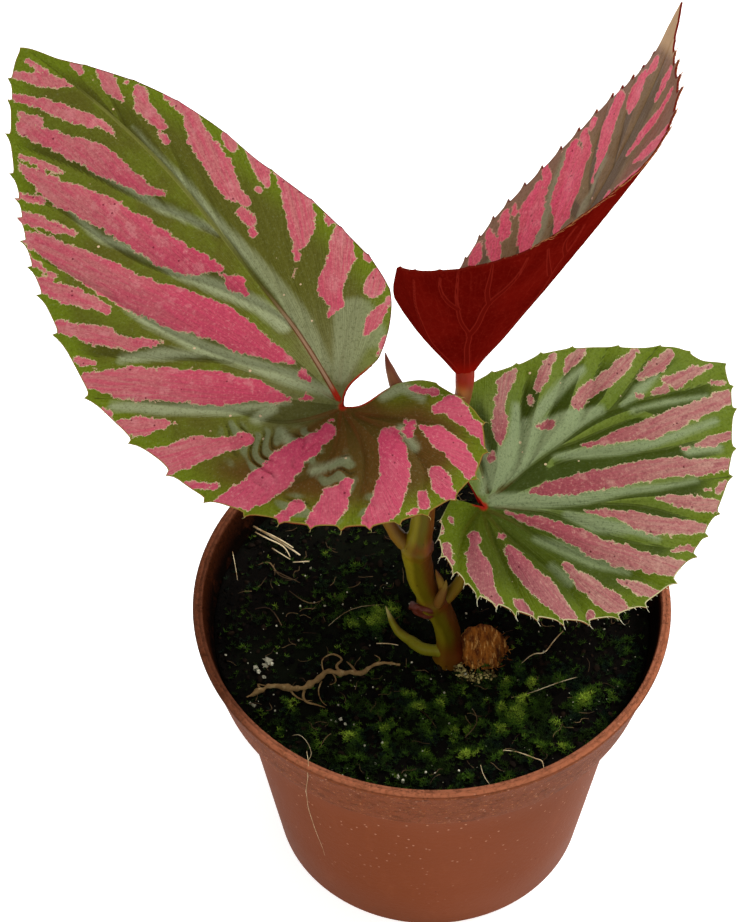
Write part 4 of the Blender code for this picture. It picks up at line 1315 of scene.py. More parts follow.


# %% [markdown]
# Veins, splashes and bands of painted silver sheen
#
# The pattern is drawn in the same flat terms. A vein is a chain of (bearing, reach) spots. A splash or a
# silver band, which is painted sheen on the lit flank of a pleat, is a chain of spots with a half width.
# Each point of the blade then stores how deep it lies in the nearest splash and how far it is from the
# nearest vein, and the material does the rest.

# %% Veins of the left leaf
LEFT_VEINS = [
    [(-9, 2), (-9, 16), (-8, 24), (-6, 35), (-5, 46), (-4, 66), (-3, 82), (-2, 94), (-1, 106), (0, 118),
     (1, 131)],
    [(-4, 54), (0, 64), (4, 76), (7, 92), (10, 112)],
    [(-11, 20), (-4, 28), (2, 36), (7, 46), (12, 57), (14, 70), (14, 88), (15, 105)],
    [(5, 3), (18, 14), (25, 26), (26, 40), (25, 52), (23, 70), (22, 90)],
    [(27, 30), (32, 42), (35, 54), (37, 68)],
    [(80, 2), (66, 12), (60, 18), (52, 25), (49, 36), (47, 48), (46, 62)],
    [(120, 2), (128, 10), (118, 17), (106, 23), (98, 35)],
    [(160, 2), (164, 12), (155, 19), (146, 26), (143, 29)],
    [(198, 4), (201, 11), (199, 18), (190, 26), (176, 30)],
    [(204, 4), (216, 11), (218, 18), (218, 25), (213, 34)],
    [(-2, 94), (-3, 104), (-3, 113)],
    [(-4, 66), (-6, 78), (-7, 92), (-7, 103)],
    [(-5, 46), (-6, 57), (-8, 70), (-9, 84), (-10, 96)],
    [(-9, 24), (-12, 37), (-14, 51), (-16, 67), (-17, 76)],
    [(-9, 16), (-16, 24), (-18, 35), (-21, 49), (-23, 62)],
    [(-10, 7), (-21, 17), (-25, 27), (-29, 38), (-34, 47)],
    [(-22, 4), (-40, 14), (-45, 25), (-50, 36)],
    [(-44, 5), (-58, 13), (-63, 22), (-64, 28)],
]
RIGHT_VEINS = [
    [(20, 3), (10, 6), (8, 14), (6, 22), (6, 32), (5, 40), (3, 46), (1, 52), (-2, 61), (-4, 73)],
    [(4, 43), (6, 50), (8, 57), (9, 64)],
    [(6, 24), (2, 30), (0, 37), (-2, 46)],
    [(-2, 22), (-6, 30), (-11, 38), (-14, 47), (-15, 58), (-16, 69)],
    [(-34, 3), (-32, 12), (-32, 20), (-30, 29), (-27, 38), (-25, 50), (-25, 64)],
    [(-31, 30), (-32, 40), (-35, 50), (-37, 58)],
    [(-34, 3), (-36, 12), (-39, 19), (-44, 27), (-46, 36), (-45, 46), (-44, 55)],
    [(-70, 2), (-60, 9), (-64, 16), (-62, 24), (-60, 33), (-58, 42), (-58, 50)],
    [(-100, 2), (-86, 10), (-80, 18), (-79, 26), (-81, 33), (-83, 38)],
    [(-125, 2), (-112, 8), (-108, 14), (-105, 22), (-103, 29)],
    [(-170, 2), (-163, 8), (-154, 13), (-146, 19)],
    [(14, 6), (18, 13), (26, 20), (33, 27), (36, 37)],
    [(8, 15), (17, 24), (21, 33), (24, 42), (25, 48)],
    [(6, 32), (12, 40), (16, 48), (18, 56)],
    [(40, 4), (58, 12), (66, 20), (68, 27)],
]
BACK_VEINS = [
    [(-2, 3), (-2, 50), (-2, 94)],
    [(0, 50), (10, 57), (13, 66), (14, 72)],
    [(-2, 44), (6, 45), (18, 41)],
    [(-62, 2), (-66, 8.5), (-66, 12.5), (-65, 16), (-70, 19.5), (-72, 24.5), (-72, 28), (-71, 32), (-70, 36)],
    [(-65, 16), (-60, 19.5), (-58, 24), (-56, 27.5), (-52, 31.5), (-49, 36), (-48, 40), (-48, 44)],
    [(-56, 27.5), (-58, 31), (-58, 35), (-58, 40)],
    [(-105, 3), (-107, 9.5), (-109, 13.5), (-104, 19), (-101, 23), (-95, 28), (-92, 31)],
    [(-72, 24.5), (-75, 25.5), (-78, 27.5), (-79, 30), (-78, 33)],
    [(-20, 3), (-22, 12), (-26, 20), (-27, 27), (-29, 33), (-32, 39), (-33, 46), (-35, 54)],
    [(-33, 36.5), (-39, 41.5), (-43, 47)],
    [(-33, 43.5), (-38, 49), (-38, 54)],
    [(60, 4), (56, 18), (54, 32)],
    [(30, 10), (30, 28), (32, 46)],
    [(0, 24), (12, 36), (20, 52), (22, 64)],
    [(-2, 60), (4, 70), (7, 80)],
]
print("veins drawn:", len(LEFT_VEINS), len(RIGHT_VEINS), len(BACK_VEINS))

# %% Splashes: chains of (bearing, reach, half width)
LEFT_SPLASHES = [
    [(2, 129.5, 0.7), (1, 122, 0.5)],
    [(4, 128.5, 1), (2, 121, 2), (0, 114, 0.5)],
    [(6, 124, 1), (4, 115, 1.5), (2, 105, 2), (0, 98, 1), (0, 92.5, 0.1)],
    [(7, 118, 1), (6, 112.5, 1)],
    [(8, 115, 2), (6, 102, 2.5), (4, 92.5, 3.5), (3, 84.5, 2.5), (2, 77.5, 1.5), (0, 72, 0.4)],
    [(11, 110, 0.6), (10, 103.5, 1), (9, 97, 0.5)],
    [(12, 107.5, 1), (12, 95, 3), (10, 82, 4), (9, 70, 4), (8, 60, 4), (6, 53, 3), (1, 46.5, 0.6)],
    [(2, 45, 0.6), (1, 41, 2), (0, 37.5, 0.5)],
    [(16, 104.5, 1), (14, 96.5, 1)],
    [(18, 100.5, 2), (17, 93, 1.5), (16, 83.5, 0.7)],
    [(20, 95, 1.5), (20, 84, 3), (20, 72, 4), (20, 60.5, 4.5), (18, 47.5, 5), (15, 37, 4.5), (14, 29.5, 4),
     (12, 22, 2), (8, 16.5, 0.5)],
    [(23, 91, 1), (24, 81, 0.3)],
    [(26, 86, 1.5), (26, 77, 2.5), (26, 64.5, 1)],
    [(32, 75.5, 1.5), (32, 64.5, 2.5), (32, 56, 1.5), (29, 47.5, 0.7)],
    [(38, 68.5, 1), (38, 63.5, 0.7)],
    [(42, 64, 2), (42, 53.5, 4), (41, 41, 4), (40, 30.5, 4), (39, 20.5, 2.5), (42, 13.5, 0.7)],
    [(13, 13.5, 0.6), (11, 10.5, 0.6)],
    [(38, 10, 0.5), (36, 8, 0.5)],
    [(53, 57, 1.5), (54, 50, 2.5), (54, 41, 0.4)],
    [(62, 50, 1.5), (66, 44, 3.5), (65, 37.5, 3.5), (67, 31, 2), (68, 24, 1.5)],
    [(76, 42, 1), (81, 36, 1)],
    [(88, 37, 1.5), (93, 30.5, 3.5), (96, 23, 4), (96, 17.5, 3.5), (102, 11.5, 2.5), (110, 6.5, 1.5)],
    [(112, 30.5, 1.5), (117, 26, 1.5)],
    [(130, 28.5, 3.5), (136, 23, 3.5), (146, 18.5, 1)],
    [(196, 13.5, 2.5), (184, 18, 3.5), (176, 22, 3.5), (164, 26, 4), (156, 29, 3)],
    [(195, 27.5, 1.5), (192, 30.5, 2.5), (190, 33.5, 1.5)],
    [(214, 20, 1), (212, 24.5, 2.5), (208, 29.5, 2.5), (203, 34.5, 2)],
    [(228, 22, 1), (230, 26, 2.5), (224, 29.5, 2), (219, 33.5, 1.5), (214, 35.5, 0.4)],
    [(244, 17, 0.7), (238, 22.5, 1)],
    [(216, 15.5, 0.5), (217, 17.5, 0.4)],
    [(208, 16.5, 0.6), (212, 18, 0.7)],
    [(182, 29, 1), (180, 31, 1.5)],
    [(171, 30.5, 0.5), (174, 31, 0.6)],
    [(-2, 119, 1), (-2, 115.5, 1)],
    [(-4, 112.5, 1), (-4, 107.5, 2), (-4, 101, 0.5)],
    [(-6, 106, 0.7), (-6, 104.5, 0.6)],
    [(-7, 102, 1), (-6, 95.5, 2), (-7, 88, 1)],
    [(-6, 87, 0.6), (-6, 86, 1)],
    [(-6, 84.5, 0.5), (-6, 83.5, 0.5)],
    [(-10, 95, 1), (-12, 88, 2), (-11, 80, 2.5), (-12, 72, 3), (-12, 66, 3), (-12, 62, 2), (-14, 58, 1)],
    [(-12, 56, 1.5), (-13, 53.5, 1.5)],
    [(-12, 50.5, 0.5), (-12, 49.5, 0.7)],
    [(-16, 77.5, 1), (-16, 73.5, 1.5)],
    [(-19, 70.5, 1), (-20, 65.5, 2), (-20, 60.5, 1)],
    [(-18, 60, 0.7), (-18, 59.5, 0.7)],
    [(-24, 62, 1.5), (-26, 54, 3.5), (-26, 47, 3.5), (-24, 42.5, 1.5)],
    [(-22, 41, 1), (-22, 39, 0.6)],
    [(-20, 36.5, 0.4), (-18, 35, 0.4)],
    [(-30, 53.5, 0.6), (-32, 51, 0.5)],
    [(-34, 49.5, 1), (-35, 46.5, 1)],
    [(-38, 44, 2), (-38, 37, 3.5), (-32, 30, 3), (-36, 25.5, 1.5), (-30, 22.5, 0.4)],
    [(-47, 39, 0.7), (-48, 37, 1)],
    [(-54, 34, 2), (-53, 30, 2.5)],
    [(-62, 28, 1), (-58, 22.5, 2), (-57, 19, 1)],
    [(-70, 19.5, 0.6), (-74, 15, 0.6)],
    [(10, 12, 0.8), (9, 12.6, 0.7)], [(102, 4, 0.5), (99, 4.3, 0.4)], [(210, 17, 1.2), (207, 17.5, 1)],
    [(36, 9, 0.8), (33, 9.4, 0.6)], [(49, 59.5, 0.8), (50, 58, 0.7)], [(-6, 84.5, 0.5), (-6, 83.5, 0.4)],
]
RIGHT_SPLASHES = [
    [(41, 37, 0.6), (44, 33, 1.6), (45, 28, 1.5), (44, 26, 0.7), (44, 23.5, 1.9), (42, 20, 1.9),
     (40, 17, 0.5)],
    [(30, 44.5, 0.8), (30, 39.5, 1.5), (30, 34.5, 0.8)],
    [(32, 32, 0.7), (30, 30, 0.5)],
    [(23, 50, 1.1), (24, 46.5, 1.4), (24, 42.5, 0.5)],
    [(12, 59, 0.8), (12, 54, 1.6), (12, 47, 2), (14, 41, 2), (14, 37, 1.6)],
    [(6, 64.5, 1.4), (6, 60, 1.9), (6, 55, 1.1)],
    [(-1, 72, 0.3), (0, 66.5, 1.4), (0, 61.5, 1.6), (2, 59, 0.8)],
    [(0, 58, 1), (1, 54.5, 0.4)],
    [(-4, 69.5, 0.6), (-5, 72, 0.7)],
    [(-8, 71, 2), (-8, 63.5, 2), (-8, 56, 2.5), (-8, 48.5, 2.5), (-6, 42.5, 2), (-4, 35, 1), (-1, 30.5, 0.3)],
    [(-16, 67, 1), (-16, 62, 1.5), (-16, 57.5, 0.4)],
    [(-16, 54.5, 0.6), (-16, 56, 0.4)],
    [(-22, 64.5, 1.5), (-22, 57, 2), (-20, 48, 2.5), (-20, 39, 2.5), (-20, 30, 2.5), (-19, 21, 2.5),
     (-18, 15.5, 1.5), (-16, 12.5, 0.6)],
    [(-28, 60, 1), (-27, 62.5, 1)],
    [(-28, 57, 0.6), (-28, 58, 0.6)],
    [(-32, 59.5, 1.5), (-31, 52.5, 2), (-30, 47, 1), (-30, 43.5, 0.4)],
    [(-38, 57, 1), (-38, 51, 2), (-39, 43, 2.5), (-38, 37.5, 2), (-36, 31.5, 1), (-36, 25.5, 0.3)],
    [(-44, 54.5, 0.5), (-44, 51.5, 1), (-46, 48, 0.4)],
    [(-51, 51, 2), (-52, 43.5, 2.5), (-53, 36.5, 3), (-54, 30, 2.5), (-52, 24.5, 2.5), (-50, 19, 2),
     (-50, 14.5, 1.5), (-50, 8.5, 0.5), (-48, 6, 0.5)],
    [(-61, 47.5, 1), (-62, 42.5, 1.5), (-63, 37.5, 0.5)],
    [(-70, 43.5, 1), (-72, 38.5, 2.5), (-72, 33.5, 2.5), (-72, 29, 1.5), (-71, 24, 0.6)],
    [(-88, 34.5, 1.5), (-89, 29, 2.5), (-90, 23.5, 3), (-93, 19.5, 2.5), (-94, 15.5, 2.5), (-95, 12.5, 1.5)],
    [(-104, 29, 1), (-106, 26, 1.5), (-108, 24.5, 0.6)],
    [(-118, 24.5, 1), (-124, 21, 2), (-130, 16.5, 3), (-137, 12.5, 2), (-142, 10.5, 1), (-142, 8.5, 1.5)],
    [(-182, 13, 1), (-204, 11.5, 0.5)],
    [(-157, 16.5, 1), (-166, 14, 1)],
    [(21, 26, 0.8), (17, 28, 1.1)],
    [(-192, 9, 0.7), (-186, 9, 0.5)], [(-94, 8.5, 0.7), (-90, 8.5, 0.5)], [(46, 12.5, 0.9), (44, 14, 0.6)],
    [(-81, 37.5, 0.8), (-80, 36.8, 0.6)], [(2, 51.5, 0.8), (3, 50.5, 0.6)],
    [(-16, 55.5, 0.5), (-16, 54.7, 0.4)],
]
BACK_SPLASHES = [
    [(52, 40, 1), (53, 35.5, 2)],
    [(48, 42.5, 1), (45, 37.5, 2), (41, 33.5, 1.5)],
    [(42, 46, 1.5), (40, 40.5, 2)],
    [(39, 48, 0.7), (38, 45.5, 1)],
    [(31, 52.5, 1.5), (30, 46, 4.5), (28, 40, 4), (25, 34.5, 2.5)],
    [(30, 57, 1), (28, 53, 2)],
    [(28, 51, 0.5), (26, 50, 0.4)],
    [(22, 61.5, 2), (18, 55.5, 5.5), (16, 50, 5.5), (13, 44.5, 3.5), (10, 40, 1.5)],
    [(19, 65, 1.5), (14, 60, 1.5)],
    [(17, 67.5, 1.5), (17, 66.5, 1)],
    [(10, 73, 3), (10, 67.5, 3.5), (8, 63, 3), (6, 58, 1.5)],
    [(6, 55, 0.7), (4, 54, 0.5)],
    [(4, 79.5, 2.5), (4, 76, 4), (3, 73.5, 1.5)],
    [(1, 84.5, 2), (2, 82, 1)],
    [(-6, 86, 1.2), (-6, 82.5, 1.7), (-6, 78.5, 1)],
    [(-10, 83, 0.7), (-10, 77, 1.4), (-8, 70.5, 1.7), (-6, 64, 0.7)],
    [(-18, 77, 1.6), (-18, 73.5, 2.6), (-15, 69, 2.2), (-12, 65, 0.8)],
    [(-24, 69, 1.2), (-17, 62.5, 1.9), (-12, 57, 1.5)],
    [(-9, 55, 1.1), (-9, 51, 1.6), (-5, 47, 1)],
    [(60, 30, 1.5), (64, 24, 2), (66, 16, 1)],
    [(30, 26, 2), (28, 18, 1.5)],
    [(-40, 50, 2), (-38, 42, 2.5), (-30, 34, 1.5)],
    [(-62, 34, 2), (-66, 26, 2), (-60, 18, 1)],
    [(-92, 30, 2), (-96, 22, 2), (-94, 14, 1)],
    [(-120, 24, 1.5), (-116, 16, 1.5)],
]
print("splashes drawn:", len(LEFT_SPLASHES), len(RIGHT_SPLASHES), len(BACK_SPLASHES))

# %% Silver bands of painted sheen on the lit pleat flanks: chains of (bearing, reach, half width)
LEFT_SILVER_SHEEN = [
    [(6, 92, 0.3), (4, 81, 1), (2, 70, 1), (-2, 60, 0.9), (-4, 55, 0.2)],
    [(13, 90, 0.3), (14, 77, 1), (12, 67, 1), (10, 55, 1.5), (6, 44, 1.8), (0, 33.5, 1.8), (-4, 25.5, 2)],
    [(24, 61, 0.5), (25, 54, 1.3), (25, 46, 1.7), (26, 38, 1.7), (24, 26, 1.5), (20, 14, 2), (2, 4.5, 1)],
    [(36, 57, 1), (32, 47, 1.5), (28, 37, 0.5)],
    [(48, 57, 1), (49, 44, 1.5), (50, 27, 1.4), (48, 19, 0.8), (46, 13, 0.2)],
    [(-3, 93, 0.2), (-4, 79, 0.4), (-5, 68, 0.8), (-6, 56, 1), (-8, 45, 1.5), (-11, 34, 1.8),
     (-14, 24, 2.2), (-16, 10, 1.5)],
    [(-36, 8, 2.2), (-46, 16, 4.2), (-46, 22, 5.0), (-59, 19, 3.6)],
    [(72, 16, 1), (90, 15, 1)],
    [(116, 17, 1), (146, 13, 0.7)],
    [(56, 21, 1.5), (50, 17, 1.5)],
    [(243, 10, 1), (247, 15, 1.2), (235, 19, 0.8)],
    [(200, 20, 1), (209, 15, 0.7)],
]
RIGHT_SILVER_SHEEN = [
    [(34, 6.5, 1.9), (25, 12, 3.6), (20, 20, 4.0), (14, 27.5, 3.9), (10, 34, 2.7), (6, 40.5, 1.2)],
    [(46, 7, 1.5), (40, 12, 1.5), (30, 17.5, 2), (29, 25, 1.4)],
    [(2, 23, 0.7), (-5, 30, 1.5), (-10, 39, 1.5), (-12, 48, 1), (-12, 54, 1), (-12, 65, 0.7)],
    [(-2, 3.5, 2), (-27, 14.5, 2), (-28, 26, 1.5), (-26, 35, 1), (-26, 44, 1), (-25, 55, 0.7)],
    [(-38, 21, 1), (-42, 28, 2), (-42, 37, 1), (-43, 44, 0.6)],
    [(-66, 15, 0.7), (-62, 22, 1.5), (-61, 30, 1.5), (-58, 39, 0.5)],
    [(3, 46, 0.6), (4, 52, 1.5), (4, 58, 0.5)],
    [(0, 47, 0.7), (-3, 56, 1), (-6, 66, 0.6)],
    [(19, 9, 1.5), (24, 16, 2), (31, 22, 2), (36, 28, 1)],
    [(54, 4, 1), (44, 10, 1.5), (56, 17, 1)],
    [(26, 24, 1), (24, 31, 1.5), (22, 39, 1.5), (20, 45, 1)],
    [(-76, 22, 0.6), (-76, 28, 1)],
    [(-18, 63, 1), (-17, 55, 1.5)],
]
BACK_SILVER_SHEEN = [
    [(24, 60, 1), (22, 40, 2), (18, 24, 2)], [(4, 60, 1), (0, 40, 2), (0, 20, 2)],
    [(44, 36, 1), (44, 20, 2)],
]
print("silver bands drawn:", len(LEFT_SILVER_SHEEN), len(RIGHT_SILVER_SHEEN), len(BACK_SILVER_SHEEN))

# %% Depth inside a chain and distance to a vein


def to_segment(points, start, end):
    """Distance from each point to a segment and how far along it the nearest spot lies."""
    way = end - start
    share = np.clip(((points - start) @ way) / max(float(way @ way), 1e-9), 0, 1)
    return np.linalg.norm(points - start - share[:, None] * way, axis=1), share


def depth_inside(points, chains):
    """How deep each point lies inside any chain, in mm, and below nought outside."""
    depth = np.full(len(points), -99.0)
    for chain in chains:
        spots = np.asarray(chain, float)
        centres = flat(spots[:, 0], spots[:, 1])
        for i in range(len(spots) - 1):
            distance, share = to_segment(points, centres[i], centres[i + 1])
            half = spots[i, 2] + share * (spots[i + 1, 2] - spots[i, 2])
            depth = np.maximum(depth, half - distance)
    return depth


def vein_gap(points, veins, root_half, end_half):
    """Distance to the nearest vein, and the same less the vein's own tapering half width."""
    nearest = np.full(len(points), 99.0)
    edge = np.full(len(points), 99.0)
    for vein in veins:
        spots = np.asarray(vein, float)
        line = flat(spots[:, 0], spots[:, 1])
        run = length_along(line)
        steps = 4 * len(vein)
        fine = flowing_curve(run, line)(np.linspace(0, run[-1], steps))
        for i in range(steps - 1):
            distance, share = to_segment(points, fine[i], fine[i + 1])
            along = (i + share) / (steps - 1)
            nearest = np.minimum(nearest, distance)
            edge = np.minimum(edge, distance - (root_half + along * (end_half - root_half)))
    return nearest, edge


# %% [markdown]
# Painting the upper side
#
# The upper side is olive green with a warmer lobe. Light is painted in as well: silver sheen in bands
# beside the veins and over the greyer hub, shade on the pleat flanks that face away from the key lamp,
# and highlight on the pucker tops with shade in their hollows. The pink splashes have a jagged cream
# border, a finer red network and dark dots. The stored depths give the main shapes, and noise frets
# their edges the way the living cells do.

# %% Upper skin of a leaf


def leaf_top(name, palette, side_bearing, lobe_range, flank_left, flank_right):
    """The painted upper side, from one column of the palette table below."""
    skin = Skin(name, 0.42, Specular_IOR_Level=0.035)
    c = {label: values[palette] for label, values in PALETTES.items()}
    splash, silver_sheen, vein, lit, lump = map(skin.stored, ("splash", "silver_sheen", "vein", "lit", "lump"))
    edge, bearing, reach, share = map(skin.stored, ("edge", "bearing", "reach", "share"))
    half, rib, notch = map(skin.stored, ("half", "rib", "notch"))
    streaks = skin.streaks(bearing, reach, 1.0, 0.09)
    fine_streaks = skin.streaks(bearing, reach, 2.4, 0.3)
    net = skin.cells(1000, "DISTANCE_TO_EDGE")
    grain = skin.noise(1500, 4, 0.75)

    side = skin.between(half, side_bearing, side_bearing - 5)
    into_lobe = skin.between(bearing, lobe_range[0], lobe_range[0] + 25)
    lobe = skin.times(into_lobe, skin.between(bearing, lobe_range[1], lobe_range[1] - 25))
    calm_lobe = skin.times(lobe, c["lobe calm"])
    bare_side = skin.less(1.0, skin.times(side, c["side bare"]))
    # The greyer hub near the stalk is painted sheen.
    hub = skin.times(skin.between(reach, 34.0, 8.0), bare_side)
    # The silver bands are painted sheen on the lit flank of each pleat, and streaks fray their edges.
    frayed_silver = skin.plus(silver_sheen, skin.wobble(streaks, 1.8))
    silver_share = skin.less(c["silver share"], skin.times(side, c["side calm"]))
    # Painted shade on the pleat flank turned from the key lamp: flank sets its strength for each half, weaker
    # in the lobe, gone inside the sheen bands and near the margin.
    flank = skin.plus(flank_left, skin.times(side, flank_right - flank_left))
    flank = skin.times(skin.times(flank, skin.less(1.0, calm_lobe)), skin.between(silver_sheen, 1.2, -0.8))
    shadow = skin.times(skin.between(skin.plus(lit, skin.wobble(streaks, 0.12)), -0.1, -0.36), flank)
    green = skin.blend(skin.between(skin.noise(90, 3, 0.6), 0.35, 0.65), c["green"], c["green two"])
    green = skin.layered(green, [
        (side, 1.0, c["side"]),
        (lobe, 1.0, c["lobe"]),
        (skin.between(edge, 9.0, 1.0), 0.8, c["margin"]),
        (hub, skin.less(c["hub share"], calm_lobe), c["hub"]),
        (skin.between(frayed_silver, -1.1, 0.9), silver_share, c["silver_sheen"]),
        (shadow, skin.between(edge, 1.0, 8.0), c["dark"]),
        # Painted highlight on the pucker tops and painted shade in their hollows.
        (skin.between(lump, 0.06, 0.3), 0.75, c["pucker highlight"]),
        (skin.between(lump, -0.06, -0.3), 0.6, c["pucker shade"]),
        (skin.between(fine_streaks, 0.52, 0.75), 0.25, c["dark"]),
        (skin.between(net, 0.1, 0.0), 0.08, c["dark"]),
        (skin.between(grain, 0.5, 0.34), 0.4, c["dark"]),
        (skin.between(grain, 0.54, 0.7), 0.16, c["silver_sheen"]),
    ])

    pink = skin.blend(skin.between(share, 0.35, 0.85), c["pink deep"], c["pink pale"])
    pink = skin.layered(pink, [
        (skin.between(streaks, 0.42, 0.62), 0.6, c["pink red"]),
        (skin.between(skin.noise(260, 3, 0.6), 0.52, 0.68), 0.4, c["pink light"]),
        (skin.between(fine_streaks, 0.5, 0.7), 0.4, c["pink vein"]),
        (skin.between(net, 0.12, 0.0), 0.12, c["pink vein"]),
        (lobe, 0.55, c["pink lobe"]),
        (skin.between(grain, 0.5, 0.34), 0.5, c["pink vein"]),
        (skin.between(grain, 0.54, 0.68), 0.5, c["pink light"]),
        (skin.dots(420, 0.12, 130, 1, 0.5), 0.8, c["pink dot"]),
    ])

    jag = skin.plus(skin.wobble(skin.noise(330, 4, 0.65), 3.4), skin.wobble(skin.noise(1300, 3, 0.7), 1.3))
    depth = skin.plus(splash, jag)
    # The dark lines along the veins are partly the veins' own colour and mostly painted shade in their
    # grooves, growing with the flank shade.
    vein_line = skin.times(skin.between(vein, 0.16, -0.04), skin.plus(0.12, skin.times(flank, 0.7)))
    vein_tone = skin.blend(skin.between(reach, 16.0, 4.0), c["vein"], c["vein red"])
    near_rib = skin.times(skin.between(reach, 40.0, 14.0), c["rib share"])
    far_rib = skin.times(skin.between(reach, 118.0, 100.0), c["rib share"])
    far_rib = skin.times(skin.between(reach, 34.0, 60.0), far_rib)
    rib_core = skin.times(skin.between(rib, 0.3, 0.0), c["rib share"])
    notch_reach = skin.between(reach, c["notch reach"], c["notch reach"] * 0.5)
    rim_tone = skin.blend(skin.between(half, side_bearing, side_bearing - 4), c["edge left"], c["edge right"])
    skin.colour(skin.layered(green, [
        (skin.between(depth, -0.2, -0.08), skin.plus(0.35, skin.times(share, 0.6)), c["cream"]),
        (skin.between(depth, -0.02, 0.12), 1.0, pink),
        (skin.dots(240, 0.085, 60, 1, 0.5), skin.between(splash, -1.0, -2.0), c["cream"]),
        (vein_line, skin.between(splash, 0.8, -0.6), vein_tone),
        (skin.between(rib, 0.3, 0.12), skin.times(near_rib, 0.8), c["vein red"]),
        (skin.between(rib, -0.05, -0.2), skin.times(near_rib, 0.85), c["rib"]),
        (rib_core, skin.between(reach, 7.0, 3.5), c["glow"]),
        (skin.between(reach, 1.5, 0.5), 1.0, c["glow"]),
        (skin.between(rib, 0.28, 0.1), skin.times(far_rib, 0.6), c["rib far"]),
        (skin.between(notch, 0.6, 0.2), notch_reach, c["glow"]),
        (skin.between(edge, 0.42, 0.16), skin.between(reach, 8.0, 14.0), rim_tone),
        (skin.between(reach, 86.5, 90.0), c["tip share"], c["tip"]),
    ]))
    skin.rough(skin.plus(skin.times(skin.noise(500, 3), 0.24), 0.3))
    pores = skin.bump(grain, 0.00012)
    skin.bump(streaks, 0.00025, pores)
    return skin.material


def leaf_under(name, deep, mid, ridge, edge_colour):
    """The crimson underside with its paler standing veins."""
    skin = Skin(name, 0.45, Specular_IOR_Level=0.0)
    vein, edge, bearing, reach = map(skin.stored, ("vein", "edge", "bearing", "reach"))
    skin.colour(skin.layered(skin.blend(skin.between(skin.noise(70, 3, 0.6), 0.35, 0.65), deep, mid), [
        (skin.between(skin.streaks(bearing, reach, 0.8, 0.1), 0.5, 0.75), 0.2, ridge),
        (skin.between(skin.noise(1300, 3, 0.7), 0.54, 0.7), 0.3, ridge),
        (skin.between(skin.cells(380, "DISTANCE_TO_EDGE"), 0.1, 0.0), 0.1, ridge),
        (skin.between(vein, 0.28, 0.08), 0.6, ridge),
        (skin.between(vein, 0.06, -0.06), 0.8, deep),
        (skin.between(edge, 0.4, 0.15), 0.7, edge_colour),
        (skin.between(reach, 7.0, 1.5), 1.0, "700c04"),
    ]))
    skin.bump(skin.noise(900, 3, 0.6), 0.00008)
    return skin.material


# %% One palette table: a label, then its value on the left, right and back leaf
LEFT, RIGHT, BACK = 0, 1, 2
PALETTES = {
    "green": ("585f18", "5c6926", "866a4a"),
    "green two": ("504f18", "505f1c", "7a5c3e"),
    "side": ("504f1a", "3b4607", "8a5442"),
    "lobe": ("543814", "3d4607", "806048"),
    "margin": ("607012", "54630e", "8a6250"),
    # hub: the greyer ground near the stalk, painted sheen
    "hub": ("74714e", "707c56", "7e6c50"),
    "hub share": (0.45, 0.25, 0.7),
    # the silver colour is painted sheen on the lit pleat flanks
    "silver_sheen": ("8c9270", "788460", "92886a"),
    # dark: painted shade on the pleat flanks, and also darker streaks and grain
    "dark": ("3a380e", "242e02", "4a3420"),
    "vein": ("34310c", "2a3206", "42301a"),
    "vein red": ("5e2a10", "40280c", "5c3018"),
    "rib": ("a88468", "7c7a4c", "8a6a48"),
    "glow": ("9c2412", "8c1e10", "7a2416"),
    "pink deep": ("aa4052", "823c42", "d8465e"),
    "pink pale": ("ae6464", "966a60", "da5c6c"),
    "pink red": ("b43a56", "8c424a", "e84872"),
    "pink vein": ("883042", "602830", "962234"),
    "pink light": ("c28080", "ae8878", "ec8a94"),
    "pink dot": ("601a28", "440c14", "7a1824"),
    "cream": ("b89c7c", "ac9a78", "c89880"),
    "edge left": ("7c6a2c", "6c6c30", "5c1a14"),
    "edge right": ("52140e", "a8a278", "6c1c14"),
    "tip": ("606d1c", "50610f", "b8946e"),
    "tip share": (0.0, 0.0, 1.0),
    # painted highlight on pucker tops and painted shade in their hollows
    "pucker highlight": ("6c7252", "7e8a60", "80765a"),
    "pucker shade": ("342a0e", "222a02", "44301e"),
    "lobe calm": (0.45, 0.7, 0.3),
    "side calm": (0.3, 0.25, 0.0),
    "rib share": (1.0, 0.0, 0.0),
    "pink lobe": ("b03859", "843f4a", "d8465e"),
    "rib far": ("747438", "7c7a4c", "8a6a48"),
    "notch reach": (14.0, 3.5, 5.0),
    "side bare": (0.0, 0.95, 0.0),
    "silver share": (0.8, 0.85, 0.85),
}
left_top = leaf_top("left leaf upper skin", LEFT, 0, (62, 262), 0.6, 0.0)
right_top = leaf_top("right leaf upper skin", RIGHT, -50, (-300, -75), 0.85, 0.35)
back_top = leaf_top("back leaf upper skin", BACK, -6, (300, 400), 0.65, 0.65)
left_under = leaf_under("left leaf under skin", "5a100c", "741c16", "944030", "6a3a20")
right_under = leaf_under("right leaf under skin", "5a100c", "741c16", "944030", "7a5a30")
back_under = leaf_under("back leaf under skin", "4e0502", "5a0904", "741d14", "5a140c")
print("upper skins:", left_top.name, right_top.name, back_top.name)
print("under skins:", left_under.name, right_under.name, back_under.name)

# %% [markdown]
# Modelling a blade
#
# The blade starts as a grid whose long side runs round the margin and whose short side runs from the
# stalk outwards. The grid's points are moved to their places, the surface swells between the veins and
# sinks along them, and a solidify step gives it a thickness of 0.55 mm. On the underside the same veins
# stand out as ridges.

# %% Grid, relief and thickness
BLADE_THICKNESS = 0.55
FIRST_REACH = 0.12
OUTER_ROWS = 12
OUTER_START = 0.93
BLOCK = 4000


